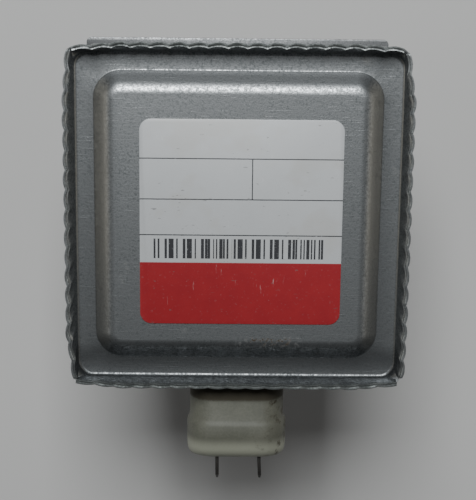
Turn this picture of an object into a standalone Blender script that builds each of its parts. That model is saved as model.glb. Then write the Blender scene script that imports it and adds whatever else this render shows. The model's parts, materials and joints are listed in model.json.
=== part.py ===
"""Microwave oven magnetron, output end down and filter box up.

Units are metres. The tube's axis is Z. The origin lies on it, in the plane of the mounting plate's
output face, which is bolted to a waveguide. The antenna points to -Z and the filter box's cover to +Z.
The high-voltage capacitor leaves the filter box towards -Y, and cooling air passes along Y.
"""

import math

import bmesh
import bpy
from mathutils import Matrix, Vector

# Clearances
SEAT_GAP = 0.0002  # between pieces that seat on each other
RUN_GAP = 0.0008  # round a piece that passes through a hole without touching

# Facets round one turn
FINE_STEPS = 28
COARSE_STEPS = 20
SMALL_STEPS = 10

# Mounting plate
PLATE_X = 0.0950
PLATE_Y = 0.0800
PLATE_THICKNESS = 0.0015
PLATE_CORNER = 0.0015
MOUNT_HOLE_RADIUS = 0.0024
MOUNT_HOLE_PITCH_X = 0.0815
MOUNT_HOLE_PITCH_Y = 0.0610

# Ring magnets
MAGNET_OUTER_RADIUS = 0.0270
MAGNET_INNER_RADIUS = 0.0106
MAGNET_THICKNESS = 0.0130
MAGNET_CHAMFER = 0.0008

# Anode
ANODE_OUTER_RADIUS = 0.0195
ANODE_WALL = 0.0020
ANODE_INNER_RADIUS = ANODE_OUTER_RADIUS - ANODE_WALL
VANE_COUNT = 10
VANE_THICKNESS = 0.0018
VANE_HEIGHT = 0.0095
VANE_TIP_RADIUS = 0.0045
VANE_TO_POLE = 0.0014
STRAP_WIDTH = 0.0008
STRAP_HEIGHT = 0.0011
SMALL_STRAP_RADIUS = 0.0060
LARGE_STRAP_RADIUS = 0.0078
STRAP_CLEARANCE = 0.0007

# Metal seal cups, one on each end of the tube
SEAL_NECK_RADIUS = 0.0094
SEAL_WALL = 0.0005
SEAL_FLANGE_RADIUS = ANODE_OUTER_RADIUS - 0.0010
SEAL_LIP_RADIUS = 0.0070
OUTPUT_NECK_REACH = 0.0090  # past the mounting plate
INPUT_NECK_REACH = 0.0030  # past the filter box's base

# Pole pieces, dished iron funnels
POLE_RADIUS = ANODE_OUTER_RADIUS - SEAT_GAP
POLE_THICKNESS = 0.0016
POLE_DEPTH = 0.0090  # from the flange's outer face to the tip's inner face
POLE_SHOULDER_RADIUS = ANODE_INNER_RADIUS - 0.0030
POLE_TIP_RADIUS = 0.0085
POLE_BORE_RADIUS = 0.0049

# Cathode
FILAMENT_RADIUS = 0.0019
FILAMENT_WIRE_RADIUS = 0.0003
FILAMENT_TURNS = 7
END_HAT_RADIUS = 0.0037
END_HAT_THICKNESS = 0.0008
END_HAT_OVERHANG = 0.0003  # past the vanes' edges
LEAD_RADIUS = 0.00075
SIDE_LEAD_OFFSET = 0.0024
STEM_LEAD_OFFSET = 0.0030
STEM_CERAMIC_RADIUS = 0.0090
STEM_CERAMIC_HEIGHT = 0.0100
STEM_RECESS_RADIUS = 0.0065
STEM_RECESS_DEPTH = 0.0040
STEM_TERMINAL_RADIUS = 0.0022
STEM_TERMINAL_THICKNESS = 0.0008

# Antenna
ANTENNA_LEAD_RADIUS = 0.0009
ANTENNA_TAP_RADIUS = 0.0115  # where the lead leaves its vane
CERAMIC_OUTER_RADIUS = 0.0088
CERAMIC_INNER_RADIUS = 0.0064
CERAMIC_HEIGHT = 0.0080
EXHAUST_DISC_RADIUS = 0.0080
EXHAUST_DISC_THICKNESS = 0.0006
EXHAUST_TUBE_RADIUS = 0.0023
EXHAUST_TUBE_WALL = 0.0005
EXHAUST_TUBE_LENGTH = 0.0062
EXHAUST_PINCH_LENGTH = 0.0026
EXHAUST_PINCH_HALF_THICKNESS = 0.0007
CAP_RADIUS = 0.0076
CAP_WALL = 0.0004
CAP_HEIGHT = 0.0118
CAP_CORNER = 0.0030
GASKET_WIDTH = 0.0057
GASKET_HEIGHT = 0.0055
GASKET_CORNER = 0.0014

# Yoke, a folded U of steel
YOKE_X = 0.0720
YOKE_Y = 0.0720
YOKE_THICKNESS = 0.0015
YOKE_FOLD_RADIUS = 0.0020
YOKE_TAB_WIDTH = 0.0080
YOKE_TAB_PITCH = 0.0360

# Cooling fins
FIN_COUNT = 6
FIN_PITCH = 0.0043
FIN_THICKNESS = 0.0006
FIN_Y = 0.0600
FIN_CORNER = 0.0050
FIN_FLAP_HEIGHT = 0.0033
FIN_FLAP_Y = 0.0440
FIN_COLLAR_WALL = 0.0005
FIN_COLLAR_HEIGHT = 0.0032
FIN_SLOT_WIDTH = 0.0012
FIN_SLOT_LENGTH = 0.0160

# Filter box and cover. The reference outline is the cover's inner foot line.
FOOT_X = 0.0852
FOOT_Y = 0.0864
FOOT_CORNER = 0.0040
BOX_HEIGHT = 0.0260
BOX_WALL = 0.0005
BOX_BASE_HOLE_COLLAR = 0.0020
SHELF_RISE = 0.0010
COVER_THICKNESS = 0.0005
RECESS_DEPTH = 0.0040
RIM_FLARE = 0.0008  # of the cover's inner face, were it as high as the rim
COVER_RIM_DROP = 0.0012  # of the cover's edge below the box's
SCALLOP_COUNT = 17  # along each side
SCALLOP_DEPTH = 0.00065
SCALLOP_FACETS = 3
RIM_CORNER = 0.0016  # from where a side ends to the rim's full corner, on the cover's inner line
RIM_LEAN = 0.00085  # how far the end of a side leans in
RIM_LEAN_REACH = 2.0  # scallops that lean
CORNER_NOTCH = 0.0014
PANEL_X = 0.0752
PANEL_Y = 0.0772
PANEL_CORNER = 0.0074
PANEL_HEIGHT = 0.0030
PANEL_SLOPE = 0.0022
PANEL_EDGE_RADIUS = 0.0018

# Label
LABEL_X = 0.0528
LABEL_Y = 0.0545
LABEL_CORNER = 0.0030
LABEL_THICKNESS = 0.00015
LABEL_CENTRE_X = 0.0007
LABEL_CENTRE_Y = -0.0011

# Feed-through capacitor
CAPACITOR_DROP = 0.0140  # from the rim down to its centre line
SLEEVE_WIDTH = 0.0210
SLEEVE_HEIGHT = 0.0108
SLEEVE_REACH = 0.0080  # inside the box
BODY_WIDTH = 0.0257
BODY_HEIGHT = 0.0144
BODY_LENGTH = 0.0132
COLLAR_WIDTH = 0.0274
COLLAR_HEIGHT = 0.0162
COLLAR_LENGTH = 0.0120
COLLAR_END_CHAMFER = 0.0034
COLLAR_STEP_BEVEL = 0.0005
GROUND_PLATE_WIDTH = 0.0440
GROUND_PLATE_HEIGHT = 0.0150
GROUND_PLATE_THICKNESS = 0.0010
TERMINAL_PITCH = 0.0119
TERMINAL_SHIFT = 0.0006  # of the terminals' middle from the case's, along X
TERMINAL_ROD_RADIUS = 0.0013
TERMINAL_ROD_REACH = 0.0016  # past the sleeve's inner end
TAB_WIDTH = 0.00635
TAB_THICKNESS = 0.0008
TAB_LENGTH = 0.0066
TAB_TIP = 0.0014
TAB_HOLE_RADIUS = 0.0009

# Chokes
CHOKE_OFFSET = 0.0090
CHOKE_LENGTH = 0.0165
CHOKE_WIRE_RADIUS = 0.0007
CHOKE_COIL_RADIUS = 0.0035
CHOKE_TURNS = 8
CHOKE_TURN_FACETS = 8
CHOKE_START_Y = -0.0133
CORE_OVERHANG = 0.0008

# Rivets
RIVET_HEAD_RADIUS = 0.0027
RIVET_HEAD_HEIGHT = 0.0009
RIVET_SHANK_RADIUS = 0.0014
BOX_RIVET_PITCH = 0.0520
GROUND_RIVET_PITCH = 0.0345

# Heights along Z, stacked from the mounting face
PLATE_TOP = PLATE_THICKNESS
OUTPUT_MAGNET_BASE = PLATE_TOP + SEAT_GAP
OUTPUT_SEAL_FACE = OUTPUT_MAGNET_BASE + MAGNET_THICKNESS + SEAT_GAP
OUTPUT_POLE_FACE = OUTPUT_SEAL_FACE + SEAL_WALL + SEAT_GAP
OUTPUT_TIP_FACE = OUTPUT_POLE_FACE + POLE_DEPTH
VANE_BASE = OUTPUT_TIP_FACE + VANE_TO_POLE
VANE_MIDDLE = VANE_BASE + VANE_HEIGHT / 2
VANE_TOP = VANE_BASE + VANE_HEIGHT
ANODE_BASE = OUTPUT_POLE_FACE + POLE_THICKNESS + SEAT_GAP
ANODE_TOP = 2 * VANE_MIDDLE - ANODE_BASE
INPUT_POLE_FACE = 2 * VANE_MIDDLE - OUTPUT_POLE_FACE
INPUT_SEAL_FACE = 2 * VANE_MIDDLE - OUTPUT_SEAL_FACE
INPUT_MAGNET_BASE = INPUT_SEAL_FACE + SEAT_GAP
WEB_UNDERSIDE = INPUT_MAGNET_BASE + MAGNET_THICKNESS + SEAT_GAP
WEB_TOP = WEB_UNDERSIDE + YOKE_THICKNESS
BOX_UNDERSIDE = WEB_TOP + SEAT_GAP
BOX_FLOOR = BOX_UNDERSIDE + BOX_WALL
RIM_TOP = BOX_UNDERSIDE + BOX_HEIGHT
FLANGE_TOP = RIM_TOP - RECESS_DEPTH
FLANGE_UNDERSIDE = FLANGE_TOP - COVER_THICKNESS
PANEL_TOP = FLANGE_TOP + PANEL_HEIGHT
CAPACITOR_Z = RIM_TOP - CAPACITOR_DROP

# Places along Y on the capacitor, from the filter box's -Y wall outwards
BOX_WALL_Y = -FOOT_Y / 2
GROUND_PLATE_FACE_Y = BOX_WALL_Y - SEAT_GAP - GROUND_PLATE_THICKNESS
BODY_FACE_Y = GROUND_PLATE_FACE_Y - SEAT_GAP
COLLAR_FACE_Y = BODY_FACE_Y - BODY_LENGTH
CASE_END_Y = COLLAR_FACE_Y - COLLAR_LENGTH
SLEEVE_END_Y = BOX_WALL_Y + BOX_WALL + SLEEVE_REACH
ROD_END_Y = SLEEVE_END_Y + TERMINAL_ROD_REACH

# Places along Z on the cathode stem and the antenna
INPUT_NECK_TOP = BOX_FLOOR + INPUT_NECK_REACH
STEM_CERAMIC_BASE = INPUT_NECK_TOP + SEAT_GAP
STEM_CERAMIC_TOP = STEM_CERAMIC_BASE + STEM_CERAMIC_HEIGHT
STEM_TERMINAL_BASE = STEM_CERAMIC_TOP + SEAT_GAP
STEM_TERMINAL_TOP = STEM_TERMINAL_BASE + STEM_TERMINAL_THICKNESS
OUTPUT_HAT_TOP = VANE_BASE + END_HAT_OVERHANG
INPUT_HAT_BASE = VANE_TOP - END_HAT_OVERHANG
CERAMIC_TOP = -OUTPUT_NECK_REACH - SEAT_GAP
CERAMIC_BASE = CERAMIC_TOP - CERAMIC_HEIGHT
EXHAUST_TOP = CERAMIC_BASE - SEAT_GAP
CAP_TOP = EXHAUST_TOP - EXHAUST_DISC_THICKNESS - SEAT_GAP


def clear_scene():
    """Removes what Blender starts with."""
    for obj in list(bpy.data.objects):
        bpy.data.objects.remove(obj)


def make_material(name, colour, roughness, metallic):
    """A Principled material of one colour."""
    material = bpy.data.materials.new(name)
    material.use_nodes = True
    shader = material.node_tree.nodes["Principled BSDF"]
    shader.inputs["Base Color"].default_value = (*colour, 1.0)
    shader.inputs["Roughness"].default_value = roughness
    shader.inputs["Metallic"].default_value = metallic
    material.diffuse_color = (*colour, 1.0)
    return material


def make_materials():
    """Every finish on the magnetron, by name."""
    return {
        "zinc_steel": make_material("zinc_steel", (0.50, 0.52, 0.53), 0.38, 1.0),
        "aluminium": make_material("aluminium", (0.72, 0.73, 0.74), 0.35, 1.0),
        "bright_steel": make_material("bright_steel", (0.62, 0.61, 0.58), 0.22, 1.0),
        "iron": make_material("iron", (0.36, 0.35, 0.34), 0.45, 1.0),
        "copper": make_material("copper", (0.72, 0.38, 0.24), 0.32, 1.0),
        "enamelled_copper": make_material("enamelled_copper", (0.45, 0.17, 0.07), 0.25, 0.6),
        "tungsten": make_material("tungsten", (0.30, 0.30, 0.32), 0.50, 1.0),
        "magnet_ferrite": make_material("magnet_ferrite", (0.07, 0.07, 0.075), 0.65, 0.0),
        "alumina": make_material("alumina", (0.82, 0.76, 0.76), 0.40, 0.0),
        "cream_plastic": make_material("cream_plastic", (0.66, 0.64, 0.52), 0.50, 0.0),
        "wire_mesh": make_material("wire_mesh", (0.55, 0.50, 0.38), 0.45, 0.9),
        "label_stock": make_material("label_stock", (0.72, 0.74, 0.76), 0.45, 0.0),
    }


def finish_object(name, bm, material, sharp_angle=math.radians(35)):
    """Turns a bmesh into a named object with its normals outwards and its round faces smooth."""
    bmesh.ops.recalc_face_normals(bm, faces=bm.faces)
    mesh = bpy.data.meshes.new(name)
    bm.to_mesh(mesh)
    bm.free()
    mesh.materials.append(material)
    mesh.shade_smooth()
    mesh.set_sharp_from_angle(angle=sharp_angle)
    obj = bpy.data.objects.new(name, mesh)
    bpy.context.scene.collection.objects.link(obj)
    return obj


def circle(radius, steps, centre=(0.0, 0.0)):
    """Points of a round outline."""
    return [
        (
            centre[0] + radius * math.cos(2 * math.pi * i / steps),
            centre[1] + radius * math.sin(2 * math.pi * i / steps),
        )
        for i in range(steps)
    ]


def rounded_rectangle(size_x, size_y, radius, corner_steps=4, centre=(0.0, 0.0)):
    """Points of a rectangle with round corners, counter-clockwise from the +X side."""
    points = []
    for quarter in range(4):
        middle = math.radians(45 + 90 * quarter)
        corner_x = math.copysign(size_x / 2 - radius, math.cos(middle))
        corner_y = math.copysign(size_y / 2 - radius, math.sin(middle))
        for i in range(corner_steps + 1):
            angle = math.pi / 2 * (quarter + i / corner_steps)
            points.append(
                (
                    centre[0] + corner_x + radius * math.cos(angle),
                    centre[1] + corner_y + radius * math.sin(angle),
                )
            )
    return points


def add_prism(bm, outline, low, high):
    """Adds the upright prism of a flat outline to a bmesh."""
    face = bm.faces.new([bm.verts.new((x, y, low)) for x, y in outline])
    grown = bmesh.ops.extrude_face_region(bm, geom=[face])
    lifted = [v for v in grown["geom"] if isinstance(v, bmesh.types.BMVert)]
    bmesh.ops.translate(bm, verts=lifted, vec=(0, 0, high - low))
    return bm


def make_prism(name, outline, low, high, material):
    """A plate or block with the given outline."""
    return finish_object(name, add_prism(bmesh.new(), outline, low, high), material)


def make_turned(name, profile, material, steps=COARSE_STEPS):
    """Turns a profile of (radius, z) points round the Z axis.

    A profile that stays off the axis is a closed loop and gives a ring. One that starts and ends
    on the axis is open and gives a solid.
    """
    bm = bmesh.new()
    verts = [bm.verts.new((radius, 0.0, z)) for radius, z in profile]
    edges = [bm.edges.new(pair) for pair in zip(verts, verts[1:])]
    if min(radius for radius, _ in profile) > 0:
        edges.append(bm.edges.new((verts[-1], verts[0])))
    bmesh.ops.spin(
        bm,
        geom=verts + edges,
        cent=(0, 0, 0),
        axis=(0, 0, 1),
        angle=2 * math.pi,
        steps=steps,
        use_merge=True,
    )
    bmesh.ops.remove_doubles(bm, verts=bm.verts, dist=1e-6)
    return finish_object(name, bm, material)


def ring_profile(inner, outer, low, high):
    """A rectangular section for make_turned."""
    return [(inner, low), (outer, low), (outer, high), (inner, high)]


def make_loft(name, sections, material):
    """Skins closed outlines of equal point counts, each given as 3-D points, and caps both ends."""
    bm = bmesh.new()
    rings = [[bm.verts.new(point) for point in section] for section in sections]
    for lower, upper in zip(rings, rings[1:]):
        for i, vert in enumerate(lower):
            after = (i + 1) % len(lower)
            bm.faces.new((vert, lower[after], upper[after], upper[i]))
    bm.faces.new(rings[0][::-1])
    bm.faces.new(rings[-1])
    return finish_object(name, bm, material)


def make_wire(name, points, radius, material, bevel_resolution):
    """A round wire along a line of points, closed at both ends."""
    curve = bpy.data.curves.new(name, "CURVE")
    curve.dimensions = "3D"
    curve.bevel_depth = radius
    curve.bevel_resolution = bevel_resolution
    curve.use_fill_caps = True
    spline = curve.splines.new("POLY")
    spline.points.add(len(points) - 1)
    for target, point in zip(spline.points, points):
        target.co = (*point, 1.0)
    curve.materials.append(material)
    obj = bpy.data.objects.new(name, curve)
    bpy.context.scene.collection.objects.link(obj)
    return obj


def make_cutter(name, bm, matrix=None):
    """A hidden helper that a Boolean takes away from a piece."""
    bmesh.ops.recalc_face_normals(bm, faces=bm.faces)
    mesh = bpy.data.meshes.new(name)
    bm.to_mesh(mesh)
    bm.free()
    if matrix:
        mesh.transform(matrix)
    cutter = bpy.data.objects.new(name, mesh)
    bpy.context.scene.collection.objects.link(cutter)
    cutter.hide_render = True
    cutter.display_type = "WIRE"
    return cutter


def add_boolean(obj, other, operation="DIFFERENCE"):
    """Cuts or joins another object with an exact Boolean modifier."""
    modifier = obj.modifiers.new(other.name, "BOOLEAN")
    modifier.operation = operation
    modifier.solver = "EXACT"
    modifier.object = other


def freeze(obj):
    """Replaces an object's mesh with what its modifiers make, so that copies can share it."""
    graph = bpy.context.evaluated_depsgraph_get()
    mesh = bpy.data.meshes.new_from_object(obj.evaluated_get(graph))
    obj.modifiers.clear()
    obj.data = mesh


def make_copy(obj, name, location=(0, 0, 0), rotation=(0, 0, 0)):
    """Another object on the same mesh."""
    copy = bpy.data.objects.new(name, obj.data)
    copy.location = location
    copy.rotation_euler = rotation
    bpy.context.scene.collection.objects.link(copy)
    return copy


def lay_along_y(point, distance_y, centre_z):
    """Places a section point (x, height) at a distance along Y and about a height."""
    return (point[0], distance_y, centre_z + point[1])


def make_mounting_plate(material):
    """The flat steel plate that closes the yoke and bolts to the waveguide."""
    outline = rounded_rectangle(PLATE_X, PLATE_Y, PLATE_CORNER)
    plate = make_prism("mounting_plate", outline, 0.0, PLATE_TOP, material)
    holes = bmesh.new()
    low, high = -PLATE_THICKNESS, 2 * PLATE_THICKNESS
    add_prism(holes, circle(SEAL_NECK_RADIUS + RUN_GAP, COARSE_STEPS), low, high)
    for side_x in (-1, 1):
        for side_y in (-1, 1):
            place = (side_x * MOUNT_HOLE_PITCH_X / 2, side_y * MOUNT_HOLE_PITCH_Y / 2)
            add_prism(holes, circle(MOUNT_HOLE_RADIUS, 12, place), low, high)
            slot = rounded_rectangle(
                YOKE_THICKNESS + 2 * SEAT_GAP,
                YOKE_TAB_WIDTH + 2 * SEAT_GAP,
                SEAT_GAP,
                1,
                (side_x * (YOKE_X - YOKE_THICKNESS) / 2, side_y * YOKE_TAB_PITCH / 2),
            )
            add_prism(holes, slot, low, high)
    add_boolean(plate, make_cutter("plate_holes", holes))


def make_magnets(material):
    """The two ring magnets, one on each side of the anode."""
    for name, base in (("output_magnet", OUTPUT_MAGNET_BASE), ("input_magnet", INPUT_MAGNET_BASE)):
        top = base + MAGNET_THICKNESS
        profile = [
            (MAGNET_INNER_RADIUS, base),
            (MAGNET_OUTER_RADIUS - MAGNET_CHAMFER, base),
            (MAGNET_OUTER_RADIUS, base + MAGNET_CHAMFER),
            (MAGNET_OUTER_RADIUS, top - MAGNET_CHAMFER),
            (MAGNET_OUTER_RADIUS - MAGNET_CHAMFER, top),
            (MAGNET_INNER_RADIUS, top),
        ]
        make_turned(name, profile, material, FINE_STEPS)


def make_seals(material):
    """The metal cups that carry the tube's vacuum wall from the pole pieces to the ceramics."""
    inner = SEAL_NECK_RADIUS - SEAL_WALL
    for name, face, towards, end in (
        ("output_seal", OUTPUT_SEAL_FACE, 1, -OUTPUT_NECK_REACH),
        ("input_seal", INPUT_SEAL_FACE, -1, INPUT_NECK_TOP),
    ):
        profile = [
            (SEAL_NECK_RADIUS, face),
            (SEAL_FLANGE_RADIUS, face),
            (SEAL_FLANGE_RADIUS, face + towards * SEAL_WALL),
            (inner, face + towards * SEAL_WALL),
            (inner, end + towards * SEAL_WALL),
            (SEAL_LIP_RADIUS, end + towards * SEAL_WALL),
            (SEAL_LIP_RADIUS, end),
            (SEAL_NECK_RADIUS, end),
        ]
        make_turned(name, profile, material)


def make_pole_pieces(material):
    """The two dished pole pieces, whose tips reach in towards the vanes."""
    for name, face, inwards in (
        ("output_pole_piece", OUTPUT_POLE_FACE, 1),
        ("input_pole_piece", INPUT_POLE_FACE, -1),
    ):
        slope_shift = POLE_THICKNESS / 2
        profile = [
            (POLE_RADIUS, 0.0),
            (POLE_SHOULDER_RADIUS, 0.0),
            (POLE_TIP_RADIUS, POLE_DEPTH - POLE_THICKNESS),
            (POLE_BORE_RADIUS, POLE_DEPTH - POLE_THICKNESS),
            (POLE_BORE_RADIUS, POLE_DEPTH),
            (POLE_TIP_RADIUS + slope_shift, POLE_DEPTH),
            (POLE_SHOULDER_RADIUS + slope_shift, POLE_THICKNESS),
            (POLE_RADIUS, POLE_THICKNESS),
        ]
        placed = [(radius, face + inwards * z) for radius, z in profile]
        pole = make_turned(name, placed, material)
        if inwards > 0:
            hole = bmesh.new()
            opening = circle(ANTENNA_LEAD_RADIUS + RUN_GAP, SMALL_STEPS, (ANTENNA_TAP_RADIUS, 0.0))
            add_prism(hole, opening, face - POLE_THICKNESS, face + POLE_DEPTH + POLE_THICKNESS)
            add_boolean(pole, make_cutter("antenna_lead_hole", hole))


def vane_outline():
    """Outline of one vane as (radius, height) points, with a stepped strap notch in each edge.

    One edge seats the small strap and clears the large one. The other edge does the opposite, so
    every second vane is turned over.
    """
    half = VANE_HEIGHT / 2
    seated = STRAP_HEIGHT + SEAT_GAP
    cleared = STRAP_HEIGHT + STRAP_CLEARANCE
    start = SMALL_STRAP_RADIUS - STRAP_CLEARANCE
    step = (SMALL_STRAP_RADIUS + STRAP_WIDTH + LARGE_STRAP_RADIUS) / 2
    end = LARGE_STRAP_RADIUS + STRAP_WIDTH + STRAP_CLEARANCE
    root = ANODE_INNER_RADIUS * math.cos(math.pi / FINE_STEPS) - SEAT_GAP
    notch = [(start, 0.0), (start, 1.0), (step, 1.0), (step, 2.0), (end, 2.0), (end, 0.0)]
    top_depths = {0.0: 0.0, 1.0: seated, 2.0: cleared}
    base_depths = {0.0: 0.0, 1.0: cleared, 2.0: seated}
    top = [(radius, half - top_depths[level]) for radius, level in notch]
    base = [(radius, base_depths[level] - half) for radius, level in reversed(notch)]
    return [(VANE_TIP_RADIUS, half), *top, (root, half), (root, -half), *base, (VANE_TIP_RADIUS, -half)]


def make_anode(material):
    """The copper cylinder, its ten vanes and the four strap rings that join every second vane."""
    section = ring_profile(ANODE_INNER_RADIUS, ANODE_OUTER_RADIUS, ANODE_BASE, ANODE_TOP)
    make_turned("anode_cylinder", section, material, FINE_STEPS)
    first = make_prism("anode_vane_01", vane_outline(), -VANE_THICKNESS / 2, VANE_THICKNESS / 2, material)
    stand_up = Matrix.Rotation(math.pi / 2, 4, "X")
    first.data.transform(stand_up)
    first.location = (0, 0, VANE_MIDDLE)
    for number in range(1, VANE_COUNT):
        turn = 2 * math.pi * number / VANE_COUNT
        turned_over = math.pi if number % 2 else 0.0
        make_copy(first, f"anode_vane_{number + 1:02d}", (0, 0, VANE_MIDDLE), (turned_over, 0, turn))
    for end, outer_face, inwards in (("output", VANE_BASE, 1), ("input", VANE_TOP, -1)):
        for size, inner in (("small", SMALL_STRAP_RADIUS), ("large", LARGE_STRAP_RADIUS)):
            faces = sorted((outer_face, outer_face + inwards * STRAP_HEIGHT))
            profile = ring_profile(inner, inner + STRAP_WIDTH, *faces)
            make_turned(f"{end}_{size}_strap", profile, material, COARSE_STEPS)


def make_cathode(tungsten, molybdenum):
    """The filament helix, the two end hats and the two leads that carry its heating current."""
    low = OUTPUT_HAT_TOP + SEAT_GAP + FILAMENT_WIRE_RADIUS
    high = INPUT_HAT_BASE - SEAT_GAP - FILAMENT_WIRE_RADIUS
    facets = 8
    count = FILAMENT_TURNS * facets
    helix = []
    for i in range(count + 1):
        angle = 2 * math.pi * i / facets
        height = low + (high - low) * i / count
        helix.append((FILAMENT_RADIUS * math.cos(angle), FILAMENT_RADIUS * math.sin(angle), height))
    make_wire("filament", helix, FILAMENT_WIRE_RADIUS, tungsten, 0)

    hat_base = OUTPUT_HAT_TOP - END_HAT_THICKNESS
    solid_hat = [(0, hat_base), (END_HAT_RADIUS, hat_base), (END_HAT_RADIUS, OUTPUT_HAT_TOP), (0, OUTPUT_HAT_TOP)]
    make_turned("output_end_hat", solid_hat, molybdenum, 20)
    hat_top = INPUT_HAT_BASE + END_HAT_THICKNESS
    hat_bore = LEAD_RADIUS + SEAT_GAP
    make_turned("input_end_hat", ring_profile(hat_bore, END_HAT_RADIUS, INPUT_HAT_BASE, hat_top), molybdenum, 20)

    joggle_low = INPUT_SEAL_FACE
    joggle_high = WEB_UNDERSIDE
    lead_top = STEM_TERMINAL_TOP
    centre_route = [
        (0, 0, OUTPUT_HAT_TOP + SEAT_GAP),
        (0, 0, joggle_low),
        (-STEM_LEAD_OFFSET, 0, joggle_high),
        (-STEM_LEAD_OFFSET, 0, lead_top),
    ]
    side_route = [
        (SIDE_LEAD_OFFSET, 0, hat_top + SEAT_GAP),
        (SIDE_LEAD_OFFSET, 0, joggle_low),
        (STEM_LEAD_OFFSET, 0, joggle_high),
        (STEM_LEAD_OFFSET, 0, lead_top),
    ]
    make_wire("centre_lead", centre_route, LEAD_RADIUS, molybdenum, 2)
    make_wire("side_lead", side_route, LEAD_RADIUS, molybdenum, 2)


def make_stem(ceramic, steel):
    """The ceramic that insulates the cathode leads, and the two terminals on top of it."""
    base, top = STEM_CERAMIC_BASE, STEM_CERAMIC_TOP
    recess = base + STEM_RECESS_DEPTH
    profile = [
        (0, recess),
        (STEM_RECESS_RADIUS, recess),
        (STEM_RECESS_RADIUS, base),
        (STEM_CERAMIC_RADIUS, base),
        (STEM_CERAMIC_RADIUS, top),
        (0, top),
    ]
    stem = make_turned("stem_ceramic", profile, ceramic)
    holes = bmesh.new()
    for side in (-1, 1):
        centre = (side * STEM_LEAD_OFFSET, 0.0)
        add_prism(holes, circle(LEAD_RADIUS + SEAT_GAP, SMALL_STEPS, centre), base, top + SEAT_GAP)
    add_boolean(stem, make_cutter("stem_lead_holes", holes))
    section = ring_profile(LEAD_RADIUS + SEAT_GAP, STEM_TERMINAL_RADIUS, 0.0, STEM_TERMINAL_THICKNESS)
    for name, side in (("stem_terminal_left", -1), ("stem_terminal_right", 1)):
        terminal = make_turned(name, section, steel, SMALL_STEPS)
        terminal.location = (side * STEM_LEAD_OFFSET, 0, STEM_TERMINAL_BASE)


def make_antenna(copper, ceramic, steel):
    """The antenna lead, the output ceramic, the pinched exhaust tube and the cap over it."""
    tube_inside = EXHAUST_TUBE_RADIUS - EXHAUST_TUBE_WALL
    tube_base = EXHAUST_TOP - EXHAUST_TUBE_LENGTH
    tap = ANTENNA_TAP_RADIUS
    route = [
        (tap, 0, VANE_BASE - SEAT_GAP),
        (tap, 0, OUTPUT_POLE_FACE + 0.52 * POLE_DEPTH),
        (0.80 * tap, 0, OUTPUT_POLE_FACE + 0.30 * POLE_DEPTH),
        (0.40 * tap, 0, OUTPUT_SEAL_FACE - 0.10 * MAGNET_THICKNESS),
        (0.12 * tap, 0, OUTPUT_SEAL_FACE - 0.48 * MAGNET_THICKNESS),
        (0, 0, OUTPUT_SEAL_FACE - 0.80 * MAGNET_THICKNESS),
        (0, 0, tube_base + SEAT_GAP),
    ]
    make_wire("antenna_lead", route, ANTENNA_LEAD_RADIUS, copper, 2)

    section = ring_profile(CERAMIC_INNER_RADIUS, CERAMIC_OUTER_RADIUS, CERAMIC_BASE, CERAMIC_TOP)
    make_turned("antenna_ceramic", section, ceramic)

    disc_base = EXHAUST_TOP - EXHAUST_DISC_THICKNESS
    make_exhaust_tube(copper, disc_base, tube_base, tube_inside)

    outer_top = CAP_TOP
    outer_base = CAP_TOP - CAP_HEIGHT
    arc = [
        (
            CAP_RADIUS - CAP_CORNER + CAP_CORNER * math.cos(math.pi / 2 * i / 4),
            outer_base + CAP_CORNER - CAP_CORNER * math.sin(math.pi / 2 * i / 4),
        )
        for i in range(5)
    ]
    inside_corner = CAP_CORNER - CAP_WALL
    inner_arc = [
        (
            CAP_RADIUS - CAP_CORNER + inside_corner * math.cos(math.pi / 2 * i / 3),
            outer_base + CAP_CORNER - inside_corner * math.sin(math.pi / 2 * i / 3),
        )
        for i in range(4)
    ]
    profile = [
        (0, outer_base),
        *reversed(arc),
        (CAP_RADIUS, outer_top),
        (CAP_RADIUS - CAP_WALL, outer_top),
        *inner_arc,
        (0, outer_base + CAP_WALL),
    ]
    make_turned("antenna_cap", profile, steel)


def make_exhaust_tube(material, disc_base, tube_base, tube_inside):
    """The copper disc and tube through which the tube was pumped, flattened to a wedge at its end."""
    steps = 16
    ring = circle(1.0, steps)

    def round_section(radius, z):
        return [(radius * x, radius * y, z) for x, y in ring]

    wedge_z = tube_base - EXHAUST_PINCH_LENGTH
    wedge = [(EXHAUST_TUBE_RADIUS * 1.2 * x, EXHAUST_PINCH_HALF_THICKNESS * y, wedge_z) for x, y in ring]
    sections = [
        round_section(tube_inside, tube_base),
        round_section(tube_inside, EXHAUST_TOP),
        round_section(EXHAUST_DISC_RADIUS, EXHAUST_TOP),
        round_section(EXHAUST_DISC_RADIUS, disc_base),
        round_section(EXHAUST_TUBE_RADIUS, disc_base),
        round_section(EXHAUST_TUBE_RADIUS, tube_base),
        wedge,
    ]
    make_loft("exhaust_tube", sections, material)


def make_gasket(material):
    """The knitted wire ring that seals the joint between plate and waveguide."""
    inner = SEAL_NECK_RADIUS + 2 * SEAT_GAP
    outer = inner + GASKET_WIDTH
    top = -SEAT_GAP
    base = top - GASKET_HEIGHT
    profile = rounded_rectangle(
        GASKET_WIDTH, GASKET_HEIGHT, GASKET_CORNER, 1, ((inner + outer) / 2, (top + base) / 2)
    )
    make_turned("rf_gasket", profile, material)


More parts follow.
